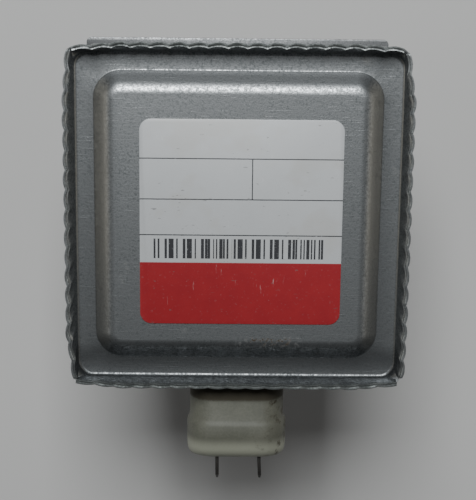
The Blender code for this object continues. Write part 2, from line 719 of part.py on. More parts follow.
def make_yoke(material):
    """The U-shaped yoke: a web under the filter box and two walls with tabs through the plate."""
    half = YOKE_X / 2
    inside = half - YOKE_THICKNESS
    fold = YOKE_FOLD_RADIUS
    inner_fold = fold - YOKE_THICKNESS
    wall_base = PLATE_TOP + SEAT_GAP
    tab_base = SEAT_GAP

    def corner(radius, side, reverse=False):
        """Points of one fold, about the centre that its inner and outer faces share."""
        arc = [
            (
                side * (half - fold + radius * math.cos(math.pi / 2 * i / 3)),
                WEB_TOP - fold + radius * math.sin(math.pi / 2 * i / 3),
            )
            for i in range(4)
        ]
        return arc[::-1] if reverse else arc

    outline = [
        (half, tab_base),
        *corner(fold, 1),
        *corner(fold, -1, True),
        (-half, tab_base),
        (-inside, tab_base),
        *corner(inner_fold, -1),
        *corner(inner_fold, 1, True),
        (inside, tab_base),
    ]
    yoke = make_prism("yoke", outline, -YOKE_Y / 2, YOKE_Y / 2, material)
    yoke.data.transform(Matrix.Rotation(math.pi / 2, 4, "X"))

    holes = bmesh.new()
    low, high = WEB_UNDERSIDE - YOKE_THICKNESS, WEB_TOP + YOKE_THICKNESS
    add_prism(holes, circle(SEAL_NECK_RADIUS + RUN_GAP, COARSE_STEPS), low, high)
    for place in box_rivet_places():
        add_prism(holes, circle(RIVET_SHANK_RADIUS + SEAT_GAP, SMALL_STEPS, place), low, high)
    add_boolean(yoke, make_cutter("web_holes", holes))

    gaps = bmesh.new()
    middle_gap = YOKE_TAB_PITCH - YOKE_TAB_WIDTH
    end_gap = (YOKE_Y - YOKE_TAB_PITCH - YOKE_TAB_WIDTH) / 2
    end_centre = (YOKE_Y - end_gap) / 2
    for side_x in (-1, 1):
        across = side_x * (half - YOKE_THICKNESS / 2)
        for centre_y, width in (
            (0.0, middle_gap),
            (-end_centre - SEAT_GAP, end_gap + 2 * SEAT_GAP),
            (end_centre + SEAT_GAP, end_gap + 2 * SEAT_GAP),
        ):
            outline = rounded_rectangle(3 * YOKE_THICKNESS, width, SEAT_GAP, 1, (across, centre_y))
            add_prism(gaps, outline, -PLATE_THICKNESS, wall_base)
    add_boolean(yoke, make_cutter("tab_gaps", gaps))


def box_rivet_places():
    """Centres of the four rivets between the yoke's web and the filter box."""
    half = BOX_RIVET_PITCH / 2
    return [(side_x * half, side_y * half) for side_x in (-1, 1) for side_y in (-1, 1)]


def make_fins(material):
    """The stamped cooling fins: a plate with a drawn collar on the anode and a folded flap each side."""
    reach = YOKE_X / 2 - YOKE_THICKNESS - SEAT_GAP
    bore = (ANODE_OUTER_RADIUS + SEAT_GAP) / math.cos(math.pi / FINE_STEPS)
    section = [
        (-reach, 0.0),
        (reach, 0.0),
        (reach, FIN_THICKNESS + FIN_FLAP_HEIGHT),
        (reach - FIN_THICKNESS, FIN_THICKNESS + FIN_FLAP_HEIGHT),
        (reach - FIN_THICKNESS, FIN_THICKNESS),
        (FIN_THICKNESS - reach, FIN_THICKNESS),
        (FIN_THICKNESS - reach, FIN_THICKNESS + FIN_FLAP_HEIGHT),
        (-reach, FIN_THICKNESS + FIN_FLAP_HEIGHT),
    ]
    fin = make_prism("cooling_fin_1", section, -FIN_Y / 2, FIN_Y / 2, material)
    fin.data.transform(Matrix.Rotation(math.pi / 2, 4, "X"))

    tall = FIN_THICKNESS + FIN_FLAP_HEIGHT + RUN_GAP
    flap_gap = (FIN_Y - FIN_FLAP_Y) / 2
    corners = bmesh.new()
    flap_ends = bmesh.new()
    for side_x in (-1, 1):
        for side_y in (-1, 1):
            corner_x, corner_y = side_x * reach, side_y * FIN_Y / 2
            beyond_x, beyond_y = corner_x + side_x * FIN_CORNER, corner_y + side_y * FIN_CORNER
            triangle = [(corner_x - side_x * FIN_CORNER, corner_y), (corner_x, corner_y - side_y * FIN_CORNER)]
            triangle += [(beyond_x, corner_y - side_y * FIN_CORNER), (beyond_x, beyond_y)]
            triangle.append((corner_x - side_x * FIN_CORNER, beyond_y))
            add_prism(corners, triangle, -RUN_GAP, tall)
            flap_middle = side_y * ((FIN_FLAP_Y + flap_gap) / 2 + RUN_GAP / 2)
            flap_end = rounded_rectangle(
                2 * FIN_CORNER, flap_gap + RUN_GAP, SEAT_GAP, 1, (corner_x, flap_middle)
            )
            add_prism(flap_ends, flap_end, FIN_THICKNESS, tall)
    add_boolean(fin, make_cutter("fin_corners", corners))
    add_boolean(fin, make_cutter("fin_flap_ends", flap_ends))

    collar_profile = ring_profile(bore - FIN_COLLAR_WALL, bore + FIN_COLLAR_WALL, 0.0, FIN_THICKNESS + FIN_COLLAR_HEIGHT)
    collar = make_turned("fin_collar", collar_profile, material, FINE_STEPS)
    collar.hide_render = True
    collar.display_type = "WIRE"
    add_boolean(fin, collar, "UNION")

    openings = bmesh.new()
    add_prism(openings, circle(bore, FINE_STEPS), -RUN_GAP, tall)
    slot_x = (bore + reach) / 2
    for side in (-1, 1):
        slot = rounded_rectangle(FIN_SLOT_WIDTH, FIN_SLOT_LENGTH, FIN_SLOT_WIDTH * 0.3, 1, (side * slot_x, 0.0))
        add_prism(openings, slot, -RUN_GAP, tall)
    add_boolean(fin, make_cutter("fin_openings", openings))
    freeze(fin)

    used = (FIN_COUNT - 1) * FIN_PITCH + FIN_THICKNESS + FIN_COLLAR_HEIGHT
    lowest = VANE_MIDDLE - used / 2
    fin.location = (0, 0, lowest)
    for number in range(1, FIN_COUNT):
        make_copy(fin, f"cooling_fin_{number + 1}", (0, 0, lowest + number * FIN_PITCH))


class Outline:
    """A closed line of points round the filter box, kept as four corners and four sides.

    An offset line is the cover's foot line moved outwards. Its sides are plain, or carry one point
    for each scallop boundary.
    """

    CORNER_STEPS = 3

    def __init__(self, bm, offset, height, parts=1):
        self.corners = []
        self.sides = []
        radius = FOOT_CORNER + offset
        for quarter in range(4):
            turn = math.pi / 2 * quarter
            centre = self.corner_place(quarter, FOOT_CORNER, 0.0)
            arc = []
            for i in range(self.CORNER_STEPS + 1):
                angle = turn + math.pi / 2 * i / self.CORNER_STEPS
                point = centre + radius * Vector((math.cos(angle), math.sin(angle), 0))
                arc.append(bm.verts.new((point.x, point.y, height)))
            self.corners.append(arc)
        for quarter in range(4):
            start, end = self.side_ends(quarter)
            points = [start.lerp(end, i / parts) for i in range(1, parts)]
            self.sides.append([bm.verts.new(point) for point in points])

    @staticmethod
    def corner_place(quarter, inset, offset):
        """A point inside one corner of the foot line moved outwards, inset along both sides."""
        away = math.radians(45 + 90 * quarter)
        return Vector(
            (
                math.copysign(FOOT_X / 2 + offset - inset, math.cos(away)),
                math.copysign(FOOT_Y / 2 + offset - inset, math.sin(away)),
                0,
            )
        )

    def side_ends(self, quarter):
        """Where one side starts and ends."""
        return self.corners[quarter][-1].co, self.corners[(quarter + 1) % 4][0].co

    def side_line(self, quarter):
        """Every vertex of one side with the corner vertices at its ends."""
        return [self.corners[quarter][-1], *self.sides[quarter], self.corners[(quarter + 1) % 4][0]]

    def loop(self):
        """Every vertex in order round the box."""
        verts = []
        for quarter in range(4):
            verts += [*self.corners[quarter], *self.sides[quarter]]
        return verts


class RimOutline(Outline):
    """One line of the crimped wall: scalloped sides that lean in at their ends, and notched corners.

    It is a share of the way from the plain foot line, where the crimp starts, up to the rim.
    """

    def __init__(self, bm, offset, share=1.0):
        parts = SCALLOP_COUNT * SCALLOP_FACETS
        super().__init__(bm, offset, 0.0, parts)
        height = FLANGE_TOP + share * RECESS_DEPTH
        rim_offset = offset + RIM_FLARE
        inset = RIM_CORNER + offset
        for quarter in range(4):
            before, after = self.side_normal(quarter - 1), self.side_normal(quarter)
            corner = self.corner_place(quarter, 0.0, rim_offset)
            start = corner - after * inset - before * RIM_LEAN
            end = corner - before * inset - after * RIM_LEAN
            for i, vert in enumerate(self.corners[quarter]):
                drop = CORNER_NOTCH if 0 < i < self.CORNER_STEPS else 0.0
                place = vert.co.lerp(start.lerp(end, i / self.CORNER_STEPS), share)
                vert.co = (place.x, place.y, height - drop)
        for quarter in range(4):
            normal = self.side_normal(quarter)
            start, end = self.side_ends(quarter)
            for i, vert in enumerate(self.sides[quarter], start=1):
                place = i / SCALLOP_FACETS
                within = place % 1.0
                from_end = min(place, SCALLOP_COUNT - place)
                straightened = RIM_LEAN - rim_lean(from_end)
                bulge = SCALLOP_DEPTH * 4 * within * (1 - within)
                vert.co = start.lerp(end, i / parts) + share * (straightened + bulge) * normal

    @staticmethod
    def side_normal(quarter):
        """The way one side faces."""
        angle = math.pi / 2 * (quarter + 1)
        return Vector((math.cos(angle), math.sin(angle), 0))


def rim_lean(from_end):
    """How far the rim leans in at a number of scallops from the end of a side."""
    return RIM_LEAN * max(0.0, 1 - (from_end / RIM_LEAN_REACH) ** 1.5)


def bridge(bm, first, second):
    """Faces between two outlines, whether or not their sides have the same number of points."""
    for quarter in range(4):
        for i in range(Outline.CORNER_STEPS):
            near, far = first.corners[quarter], second.corners[quarter]
            bm.faces.new((near[i], near[i + 1], far[i + 1], far[i]))
        sparse, dense = sorted((first.side_line(quarter), second.side_line(quarter)), key=len)
        pieces = len(sparse) - 1
        each = (len(dense) - 1) // pieces
        if pieces == 1:
            bm.faces.new(sparse + dense[::-1])
            continue
        for piece in range(pieces):
            near_start, near_end = sparse[piece], sparse[piece + 1]
            arc = dense[piece * each:(piece + 1) * each + 1]
            if each == 1:
                bm.faces.new((near_start, near_end, arc[1], arc[0]))
                continue
            middle = each // 2
            bm.faces.new((near_start, near_end, arc[middle]))
            for i in range(each):
                anchor = near_start if i < middle else near_end
                bm.faces.new((anchor, arc[i + 1], arc[i]))


def make_cover(material):
    """The pressed cover: a raised panel, a flat flange and a scalloped wall crimped into the rim."""
    bm = bmesh.new()
    thick = COVER_THICKNESS

    def panel_ring(inset, height):
        """One line of the raised panel, from its foot inwards."""
        outline = rounded_rectangle(
            PANEL_X - 2 * inset, PANEL_Y - 2 * inset, max(PANEL_CORNER - inset, thick), Outline.CORNER_STEPS
        )
        return [bm.verts.new((x, y, height)) for x, y in outline]

    def join(lower, upper):
        for i, vert in enumerate(lower):
            after = (i + 1) % len(lower)
            bm.faces.new((vert, lower[after], upper[after], upper[i]))

    def panel_lines(shift):
        """The panel's foot, slope and rounded edge on one face of the sheet."""
        edge = PANEL_EDGE_RADIUS
        lines = [(shift * 0.5, 0.0), (PANEL_SLOPE + shift * 0.5, PANEL_HEIGHT - edge * 0.6)]
        lines.append((PANEL_SLOPE + edge * 0.55 + shift * 0.5, PANEL_HEIGHT - edge * 0.14))
        lines.append((PANEL_SLOPE + edge * 1.15 + shift * 0.5, PANEL_HEIGHT))
        return lines

    upper = [panel_ring(inset, FLANGE_TOP + z) for inset, z in panel_lines(0.0)]
    lower = [panel_ring(inset, FLANGE_UNDERSIDE + z) for inset, z in panel_lines(thick)]
    for rings in (upper, lower):
        for near, far in zip(rings, rings[1:]):
            join(near, far)
        bm.faces.new(rings[-1])

    foot_in = Outline(bm, 0.0, FLANGE_TOP, SCALLOP_COUNT)
    edge_share = 1 - COVER_RIM_DROP / RECESS_DEPTH
    rim_in = RimOutline(bm, 0.0, edge_share)
    rim_out = RimOutline(bm, thick, edge_share)
    foot_out = Outline(bm, thick, FLANGE_UNDERSIDE, SCALLOP_COUNT)
    for near, far in ((foot_in, rim_in), (rim_in, rim_out), (rim_out, foot_out)):
        bridge(bm, near, far)
    for rings, foot in ((upper, foot_in), (lower, foot_out)):
        steps = Outline.CORNER_STEPS + 1
        for quarter in range(4):
            arc = rings[0][quarter * steps:(quarter + 1) * steps]
            for i in range(steps - 1):
                corner = foot.corners[quarter]
                bm.faces.new((arc[i], arc[i + 1], corner[i + 1], corner[i]))
            following = rings[0][(quarter + 1) * steps % len(rings[0])]
            bm.faces.new([following, arc[-1], *foot.side_line(quarter)])
    return finish_object("filter_cover", bm, material)


def make_filter_box(material):
    """The pressed filter box, with a shelf for the cover and a scalloped rim crimped round it."""
    bm = bmesh.new()
    wall = BOX_WALL
    inner_shelf = COVER_THICKNESS + SEAT_GAP
    shelf_top = FLANGE_UNDERSIDE - SEAT_GAP
    shelf_base = shelf_top - SHELF_RISE
    bend = 2 * wall
    outlines = [
        Outline(bm, -bend, BOX_UNDERSIDE),
        Outline(bm, 0.0, BOX_UNDERSIDE + bend),
        Outline(bm, 0.0, shelf_base - wall / 2),
        Outline(bm, inner_shelf + wall, shelf_top - wall / 2, SCALLOP_COUNT),
        RimOutline(bm, inner_shelf + wall),
        RimOutline(bm, inner_shelf),
        Outline(bm, inner_shelf, shelf_top, SCALLOP_COUNT),
        Outline(bm, -wall, shelf_base),
        Outline(bm, -wall, BOX_FLOOR + wall),
        Outline(bm, -bend, BOX_FLOOR),
    ]
    for near, far in zip(outlines, outlines[1:]):
        bridge(bm, near, far)
    bm.faces.new(outlines[0].loop())
    bm.faces.new(outlines[-1].loop())
    box = finish_object("filter_box", bm, material)

    hole_radius = SEAL_NECK_RADIUS + RUN_GAP
    collar_section = ring_profile(
        hole_radius - RUN_GAP / 2, hole_radius + wall, BOX_UNDERSIDE + wall / 2, BOX_FLOOR + BOX_BASE_HOLE_COLLAR
    )
    collar = make_turned("base_hole_collar", collar_section, material)
    collar.hide_render = True
    collar.display_type = "WIRE"
    add_boolean(box, collar, "UNION")

    holes = bmesh.new()
    low, high = BOX_UNDERSIDE - wall, BOX_FLOOR + BOX_BASE_HOLE_COLLAR + wall
    add_prism(holes, circle(hole_radius, COARSE_STEPS), low, high)
    for place in box_rivet_places():
        add_prism(holes, circle(RIVET_SHANK_RADIUS + SEAT_GAP, SMALL_STEPS, place), low, high)
    add_boolean(box, make_cutter("box_base_holes", holes))

    window = bmesh.new()
    add_wall_holes(window, SLEEVE_WIDTH + 2 * SEAT_GAP, SLEEVE_HEIGHT + 2 * SEAT_GAP)
    add_boolean(box, make_cutter("box_wall_holes", window, wall_matrix()))


def wall_matrix():
    """Turns a prism that stands on XY so that it passes through the box's -Y wall."""
    return Matrix.Translation((0, BOX_WALL_Y, CAPACITOR_Z)) @ Matrix.Rotation(math.pi / 2, 4, "X")


def add_wall_holes(bm, width, height):
    """The sleeve's oval window and the two rivet holes, through a plate at the box's -Y wall."""
    depth = 4 * (BOX_WALL + GROUND_PLATE_THICKNESS)
    add_prism(bm, oval(width, height), -depth / 2, depth / 2)
    for side in (-1, 1):
        place = (side * GROUND_RIVET_PITCH / 2, 0.0)
        add_prism(bm, circle(RIVET_SHANK_RADIUS + SEAT_GAP, SMALL_STEPS, place), -depth / 2, depth / 2)


def oval(width, height, corner_steps=4):
    """A flat oval with full round ends."""
    return rounded_rectangle(width, height, height / 2 * 0.98, corner_steps)


def make_capacitor(plastic, steel, brass):
    """The feed-through capacitor: its case, its ground plate and its two blade terminals."""

    def section(width, height, distance_y):
        return [lay_along_y(point, distance_y, CAPACITOR_Z) for point in oval(width, height)]

    bevel = COLLAR_STEP_BEVEL
    chamfer = COLLAR_END_CHAMFER
    sections = [
        section(SLEEVE_WIDTH, SLEEVE_HEIGHT, SLEEVE_END_Y),
        section(SLEEVE_WIDTH, SLEEVE_HEIGHT, BODY_FACE_Y),
        section(BODY_WIDTH, BODY_HEIGHT, BODY_FACE_Y),
        section(BODY_WIDTH, BODY_HEIGHT, COLLAR_FACE_Y + bevel),
        section(COLLAR_WIDTH - bevel, COLLAR_HEIGHT - bevel, COLLAR_FACE_Y),
        section(COLLAR_WIDTH, COLLAR_HEIGHT, COLLAR_FACE_Y - bevel),
        section(COLLAR_WIDTH, COLLAR_HEIGHT, CASE_END_Y + chamfer),
        section(COLLAR_WIDTH - 0.5 * chamfer, COLLAR_HEIGHT - 0.6 * chamfer, CASE_END_Y + 0.35 * chamfer),
        section(COLLAR_WIDTH - 1.6 * chamfer, COLLAR_HEIGHT - 1.6 * chamfer, CASE_END_Y),
    ]
    case = make_loft("capacitor_case", sections, plastic)
    bores = bmesh.new()
    length = SLEEVE_END_Y - CASE_END_Y + 4 * SEAT_GAP
    for side in (-1, 1):
        bore = circle(TERMINAL_ROD_RADIUS + SEAT_GAP, SMALL_STEPS, (terminal_x(side), 0.0))
        add_prism(bores, bore, 0.0, length)
    through = Matrix.Translation((0, SLEEVE_END_Y + 2 * SEAT_GAP, CAPACITOR_Z)) @ Matrix.Rotation(math.pi / 2, 4, "X")
    add_boolean(case, make_cutter("terminal_bores", bores, through))

    plate_outline = rounded_rectangle(GROUND_PLATE_WIDTH, GROUND_PLATE_HEIGHT, GROUND_PLATE_HEIGHT * 0.3)
    plate = make_prism("ground_plate", plate_outline, SEAT_GAP, SEAT_GAP + GROUND_PLATE_THICKNESS, steel)
    plate.data.transform(wall_matrix())
    window = bmesh.new()
    add_wall_holes(window, SLEEVE_WIDTH + 2 * SEAT_GAP, SLEEVE_HEIGHT + 2 * SEAT_GAP)
    add_boolean(plate, make_cutter("ground_plate_holes", window, wall_matrix()))

    make_terminals(brass)


def terminal_x(side):
    """Where one terminal stands along X, on the side -1 or 1."""
    return TERMINAL_SHIFT + side * TERMINAL_PITCH / 2


def make_terminals(material):
    """The two blade terminals, each with a rod that runs through the case to its choke."""
    half = TAB_WIDTH / 2
    outline = [
        (-half, 0.0),
        (half, 0.0),
        (half, TAB_LENGTH - TAB_TIP),
        (half - TAB_TIP, TAB_LENGTH),
        (TAB_TIP - half, TAB_LENGTH),
        (-half, TAB_LENGTH - TAB_TIP),
    ]
    for name, side in (("terminal_left", -1), ("terminal_right", 1)):
        blade = make_prism(name, outline, -TAB_THICKNESS / 2, TAB_THICKNESS / 2, material)
        base = Vector((terminal_x(side), CASE_END_Y - SEAT_GAP, CAPACITOR_Z))
        facing = Matrix(((0, 0, 1, 0), (0, -1, 0, 0), (1, 0, 0, 0), (0, 0, 0, 1)))
        blade.data.transform(Matrix.Translation(base) @ facing)
        hole = bmesh.new()
        middle = (0.0, (TAB_LENGTH - TAB_TIP) * 0.6)
        add_prism(hole, circle(TAB_HOLE_RADIUS, 8, middle), -TAB_THICKNESS, TAB_THICKNESS)
        add_boolean(blade, make_cutter(f"{name}_hole", hole, Matrix.Translation(base) @ facing))
        rod = bmesh.new()
        length = ROD_END_Y - (CASE_END_Y - SEAT_GAP) + TAB_THICKNESS
        add_prism(rod, circle(TERMINAL_ROD_RADIUS, SMALL_STEPS), 0.0, length)
        start = Matrix.Translation((base.x, ROD_END_Y, CAPACITOR_Z)) @ Matrix.Rotation(math.pi / 2, 4, "X")
        add_boolean(blade, make_cutter(f"{name}_rod", rod, start), "UNION")


def make_chokes(wire_material, core_material):
    """The two chokes between the stem terminals and the capacitor, each a coil on a ferrite rod."""
    first_y = CHOKE_START_Y
    last_y = first_y - CHOKE_LENGTH
    for name, side in (("left", -1), ("right", 1)):
        axis_x = side * CHOKE_OFFSET
        steps = int((CHOKE_TURNS + 0.25) * CHOKE_TURN_FACETS + 0.5)
        coil = []
        for i in range(steps + 1):
            angle = math.pi / 2 + side * 2 * math.pi * (CHOKE_TURNS + 0.25) * i / steps
            coil.append(
                (
                    axis_x + CHOKE_COIL_RADIUS * math.cos(angle),
                    first_y + (last_y - first_y) * i / steps,
                    CAPACITOR_Z + CHOKE_COIL_RADIUS * math.sin(angle),
                )
            )
        rest = STEM_TERMINAL_TOP + SEAT_GAP + CHOKE_WIRE_RADIUS
        crest = CAPACITOR_Z + CHOKE_COIL_RADIUS
        stem_x = side * STEM_LEAD_OFFSET
        lead_in = [
            (stem_x, -LEAD_RADIUS - SEAT_GAP, rest),
            (stem_x, -STEM_TERMINAL_RADIUS, rest),
            (stem_x + (axis_x - stem_x) * 0.35, first_y * 0.45, (rest + crest) / 2),
            (stem_x + (axis_x - stem_x) * 0.85, first_y * 0.80, crest),
        ]
        rod_x = terminal_x(side)
        lead_out = [
            ((rod_x + coil[-1][0]) / 2, (last_y + ROD_END_Y) / 2 + SEAT_GAP, CAPACITOR_Z),
            (rod_x, ROD_END_Y + SEAT_GAP, CAPACITOR_Z),
        ]
        make_wire(f"choke_coil_{name}", lead_in + coil + lead_out, CHOKE_WIRE_RADIUS, wire_material, 1)
        core_radius = CHOKE_COIL_RADIUS - CHOKE_WIRE_RADIUS - 2 * SEAT_GAP
        core = make_prism(
            f"choke_core_{name}",
            circle(core_radius, 16),
            0.0,
            CHOKE_LENGTH + 2 * CORE_OVERHANG,
            core_material,
        )
        core.location = (axis_x, first_y + CORE_OVERHANG, CAPACITOR_Z)
        core.rotation_euler = (math.pi / 2, 0, 0)


def make_rivets(material):
    """The rivets that hold the filter box to the yoke and the ground plate to the box."""
    grip_box = YOKE_THICKNESS + SEAT_GAP + BOX_WALL
    grip_ground = GROUND_PLATE_THICKNESS + SEAT_GAP + BOX_WALL

    def rivet(name, grip):
        head, shank, tall = RIVET_HEAD_RADIUS, RIVET_SHANK_RADIUS, RIVET_HEAD_HEIGHT
        near, far = -SEAT_GAP, grip + SEAT_GAP
        profile = [
            (0, near - tall),
            (head * 0.75, near - tall),
            (head, near),
            (shank, near),
            (shank, far),
            (head, far),
            (head * 0.75, far + tall),
            (0, far + tall),
        ]
        return make_turned(name, profile, material, SMALL_STEPS)

    first = rivet("box_rivet_1", grip_box)
    for number, (x, y) in enumerate(box_rivet_places()):
        place = (x, y, WEB_UNDERSIDE)
        if number:
            make_copy(first, f"box_rivet_{number + 1}", place)
        else:
            first.location = place
    ground = rivet("ground_rivet_left", grip_ground)
    ground.rotation_euler = (-math.pi / 2, 0, 0)
    ground.location = (-GROUND_RIVET_PITCH / 2, GROUND_PLATE_FACE_Y, CAPACITOR_Z)
    make_copy(
        ground,
        "ground_rivet_right",
        (GROUND_RIVET_PITCH / 2, GROUND_PLATE_FACE_Y, CAPACITOR_Z),
        (-math.pi / 2, 0, 0),
    )


def make_label(material):
    """The printed label on the cover's raised panel."""
    outline = rounded_rectangle(LABEL_X, LABEL_Y, LABEL_CORNER, 4, (LABEL_CENTRE_X, LABEL_CENTRE_Y))
    base = PANEL_TOP + SEAT_GAP / 2
    make_prism("label", outline, base, base + LABEL_THICKNESS, material)


def main():
    """Builds every piece of the magnetron."""
    clear_scene()
    finish = make_materials()
    make_mounting_plate(finish["zinc_steel"])
    make_magnets(finish["magnet_ferrite"])
    make_seals(finish["bright_steel"])
    make_pole_pieces(finish["iron"])
    make_anode(finish["copper"])
    make_cathode(finish["tungsten"], finish["tungsten"])
    make_stem(finish["alumina"], finish["bright_steel"])
    make_antenna(finish["copper"], finish["alumina"], finish["bright_steel"])
    make_gasket(finish["wire_mesh"])
    make_yoke(finish["zinc_steel"])
    make_fins(finish["aluminium"])
    make_filter_box(finish["zinc_steel"])
    make_cover(finish["zinc_steel"])
    make_label(finish["label_stock"])
    make_capacitor(finish["cream_plastic"], finish["zinc_steel"], finish["bright_steel"])
    make_chokes(finish["enamelled_copper"], finish["magnet_ferrite"])
    make_rivets(finish["bright_steel"])


main()
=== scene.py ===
"""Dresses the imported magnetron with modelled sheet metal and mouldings, and lights it.

Units are metres, in the CAD model's frame: the tube's axis is Z, the origin is in the mounting
plate's output face, the filter box's cover is up and the capacitor leaves the box towards -Y.
"""

import json
import logging
import math
from collections.abc import Callable, Sequence
from dataclasses import dataclass
from enum import Enum
from itertools import pairwise, product
from typing import Any

import bmesh
import bpy
from mathutils import Matrix, Vector


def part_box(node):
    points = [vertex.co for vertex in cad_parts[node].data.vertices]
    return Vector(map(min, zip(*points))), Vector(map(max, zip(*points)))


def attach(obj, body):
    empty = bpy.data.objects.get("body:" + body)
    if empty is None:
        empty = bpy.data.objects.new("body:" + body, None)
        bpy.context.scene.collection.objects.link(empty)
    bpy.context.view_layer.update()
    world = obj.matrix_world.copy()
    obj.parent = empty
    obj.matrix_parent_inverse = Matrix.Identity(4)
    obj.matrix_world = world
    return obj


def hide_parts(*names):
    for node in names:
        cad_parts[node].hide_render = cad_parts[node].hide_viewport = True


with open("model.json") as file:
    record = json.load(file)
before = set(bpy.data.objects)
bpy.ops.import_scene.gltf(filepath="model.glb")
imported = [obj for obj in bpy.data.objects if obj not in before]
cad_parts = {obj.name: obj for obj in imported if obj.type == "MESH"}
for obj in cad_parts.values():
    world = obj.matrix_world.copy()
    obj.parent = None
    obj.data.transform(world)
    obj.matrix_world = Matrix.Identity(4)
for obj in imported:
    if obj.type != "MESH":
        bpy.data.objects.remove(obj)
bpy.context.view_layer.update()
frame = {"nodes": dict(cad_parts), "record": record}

LOG = logging.getLogger("magnetron")

Pair = tuple[float, float]
Triple = tuple[float, float, float]
Colour = Triple
Profile = Sequence[Pair]

ORIGIN = (0.0, 0.0)
SIDES = (-1, 1)
CORNERS = tuple(product(SIDES, SIDES))
QUARTER = math.pi / 2  # a quarter turn in radians
NEAR = 1e-6  # how near two places are that count as one
PAST = 0.002  # how far a cutting tool reaches past a sheet
OVAL = 0.49  # the radius of an oval's ends as a share of its height
RIM_STEPS = 12  # rows of faces up the flared rim of both crimped sheets
EDGE_WEAR = (0.00013, 3, 62)  # the rolled cut edges of both: width, facets and angle limit


class Slot(Enum):
    """The record's material slots."""

    ZINC_STEEL = "zinc_steel"
    ALUMINIUM = "aluminium"
    BRIGHT_STEEL = "bright_steel"
    IRON = "iron"
    COPPER = "copper"
    ENAMELLED_COPPER = "enamelled_copper"
    TUNGSTEN = "tungsten"
    FERRITE = "magnet_ferrite"
    ALUMINA = "alumina"
    CREAM_PLASTIC = "cream_plastic"
    WIRE_MESH = "wire_mesh"
    LABEL = "label_stock"


class Kind(Enum):
    """What is selected on a mesh."""

    POINTS = "VERT"
    EDGES = "EDGE"


class Axis(Enum):
    """An axis, by its place in a vector."""

    X = 0
    Y = 1
    Z = 2


class Joining(Enum):
    """What a tool does to a piece."""

    CUT = "DIFFERENCE"
    UNITE = "UNION"


class Solver(Enum):
    """How a tool's outline on a piece is found; the fast way is for a mesh of many small faces."""

    EXACT = "EXACT"
    FAST = "FAST"


# ---------------------------------------------------------------- shader graphs


class Wire:
    """A socket of a node graph, on which arithmetic adds Math nodes."""

    def __init__(self, graph: "Graph", socket: bpy.types.NodeSocket) -> None:
        """Holds an output socket of a graph."""
        self.graph, self.socket = graph, socket

    def _maths(self, operation: str, *terms: "float | Wire") -> "Wire":
        """The result of a Math node, given its terms in order."""
        return self.graph.node("Math", dict(enumerate(terms)), operation=operation)[0]

    def __add__(self, other: "float | Wire") -> "Wire":
        """The sum."""
        return self._maths("ADD", self, other)

    def __mul__(self, other: "float | Wire") -> "Wire":
        """The product."""
        return self._maths("MULTIPLY", self, other)

    __radd__, __rmul__ = __add__, __mul__

    def __sub__(self, other: "float | Wire") -> "Wire":
        """The difference."""
        return self._maths("SUBTRACT", self, other)

    def __rsub__(self, other: "float | Wire") -> "Wire":
        """The difference, from the right."""
        return self._maths("SUBTRACT", other, self)

    def __truediv__(self, other: "float | Wire") -> "Wire":
        """The quotient."""
        return self._maths("DIVIDE", self, other)

    def __gt__(self, other: "float | Wire") -> "Wire":
        """1 where it is more, else 0."""
        return self._maths("GREATER_THAN", self, other)

    def __lt__(self, other: "float | Wire") -> "Wire":
        """1 where it is less, else 0."""
        return self._maths("LESS_THAN", self, other)

    def __abs__(self) -> "Wire":
        """The size without its sign."""
        return self._maths("ABSOLUTE", self)

    def sine(self) -> "Wire":
        """The sine."""
        return self._maths("SINE", self)

    def higher(self, other: "float | Wire") -> "Wire":
        """The higher of the two."""
        return self._maths("MAXIMUM", self, other)

    def lower(self, other: "float | Wire") -> "Wire":
        """The lower of the two."""
        return self._maths("MINIMUM", self, other)


class Placed:
    """A node that stands in a graph, whose outputs are read by name or number."""

    def __init__(self, graph: "Graph", node: bpy.types.Node) -> None:
        """Holds a node of a graph."""
        self.graph, self.node = graph, node

    def __getitem__(self, name: str | int) -> Wire:
        """One output."""
        return Wire(self.graph, self.node.outputs[name])


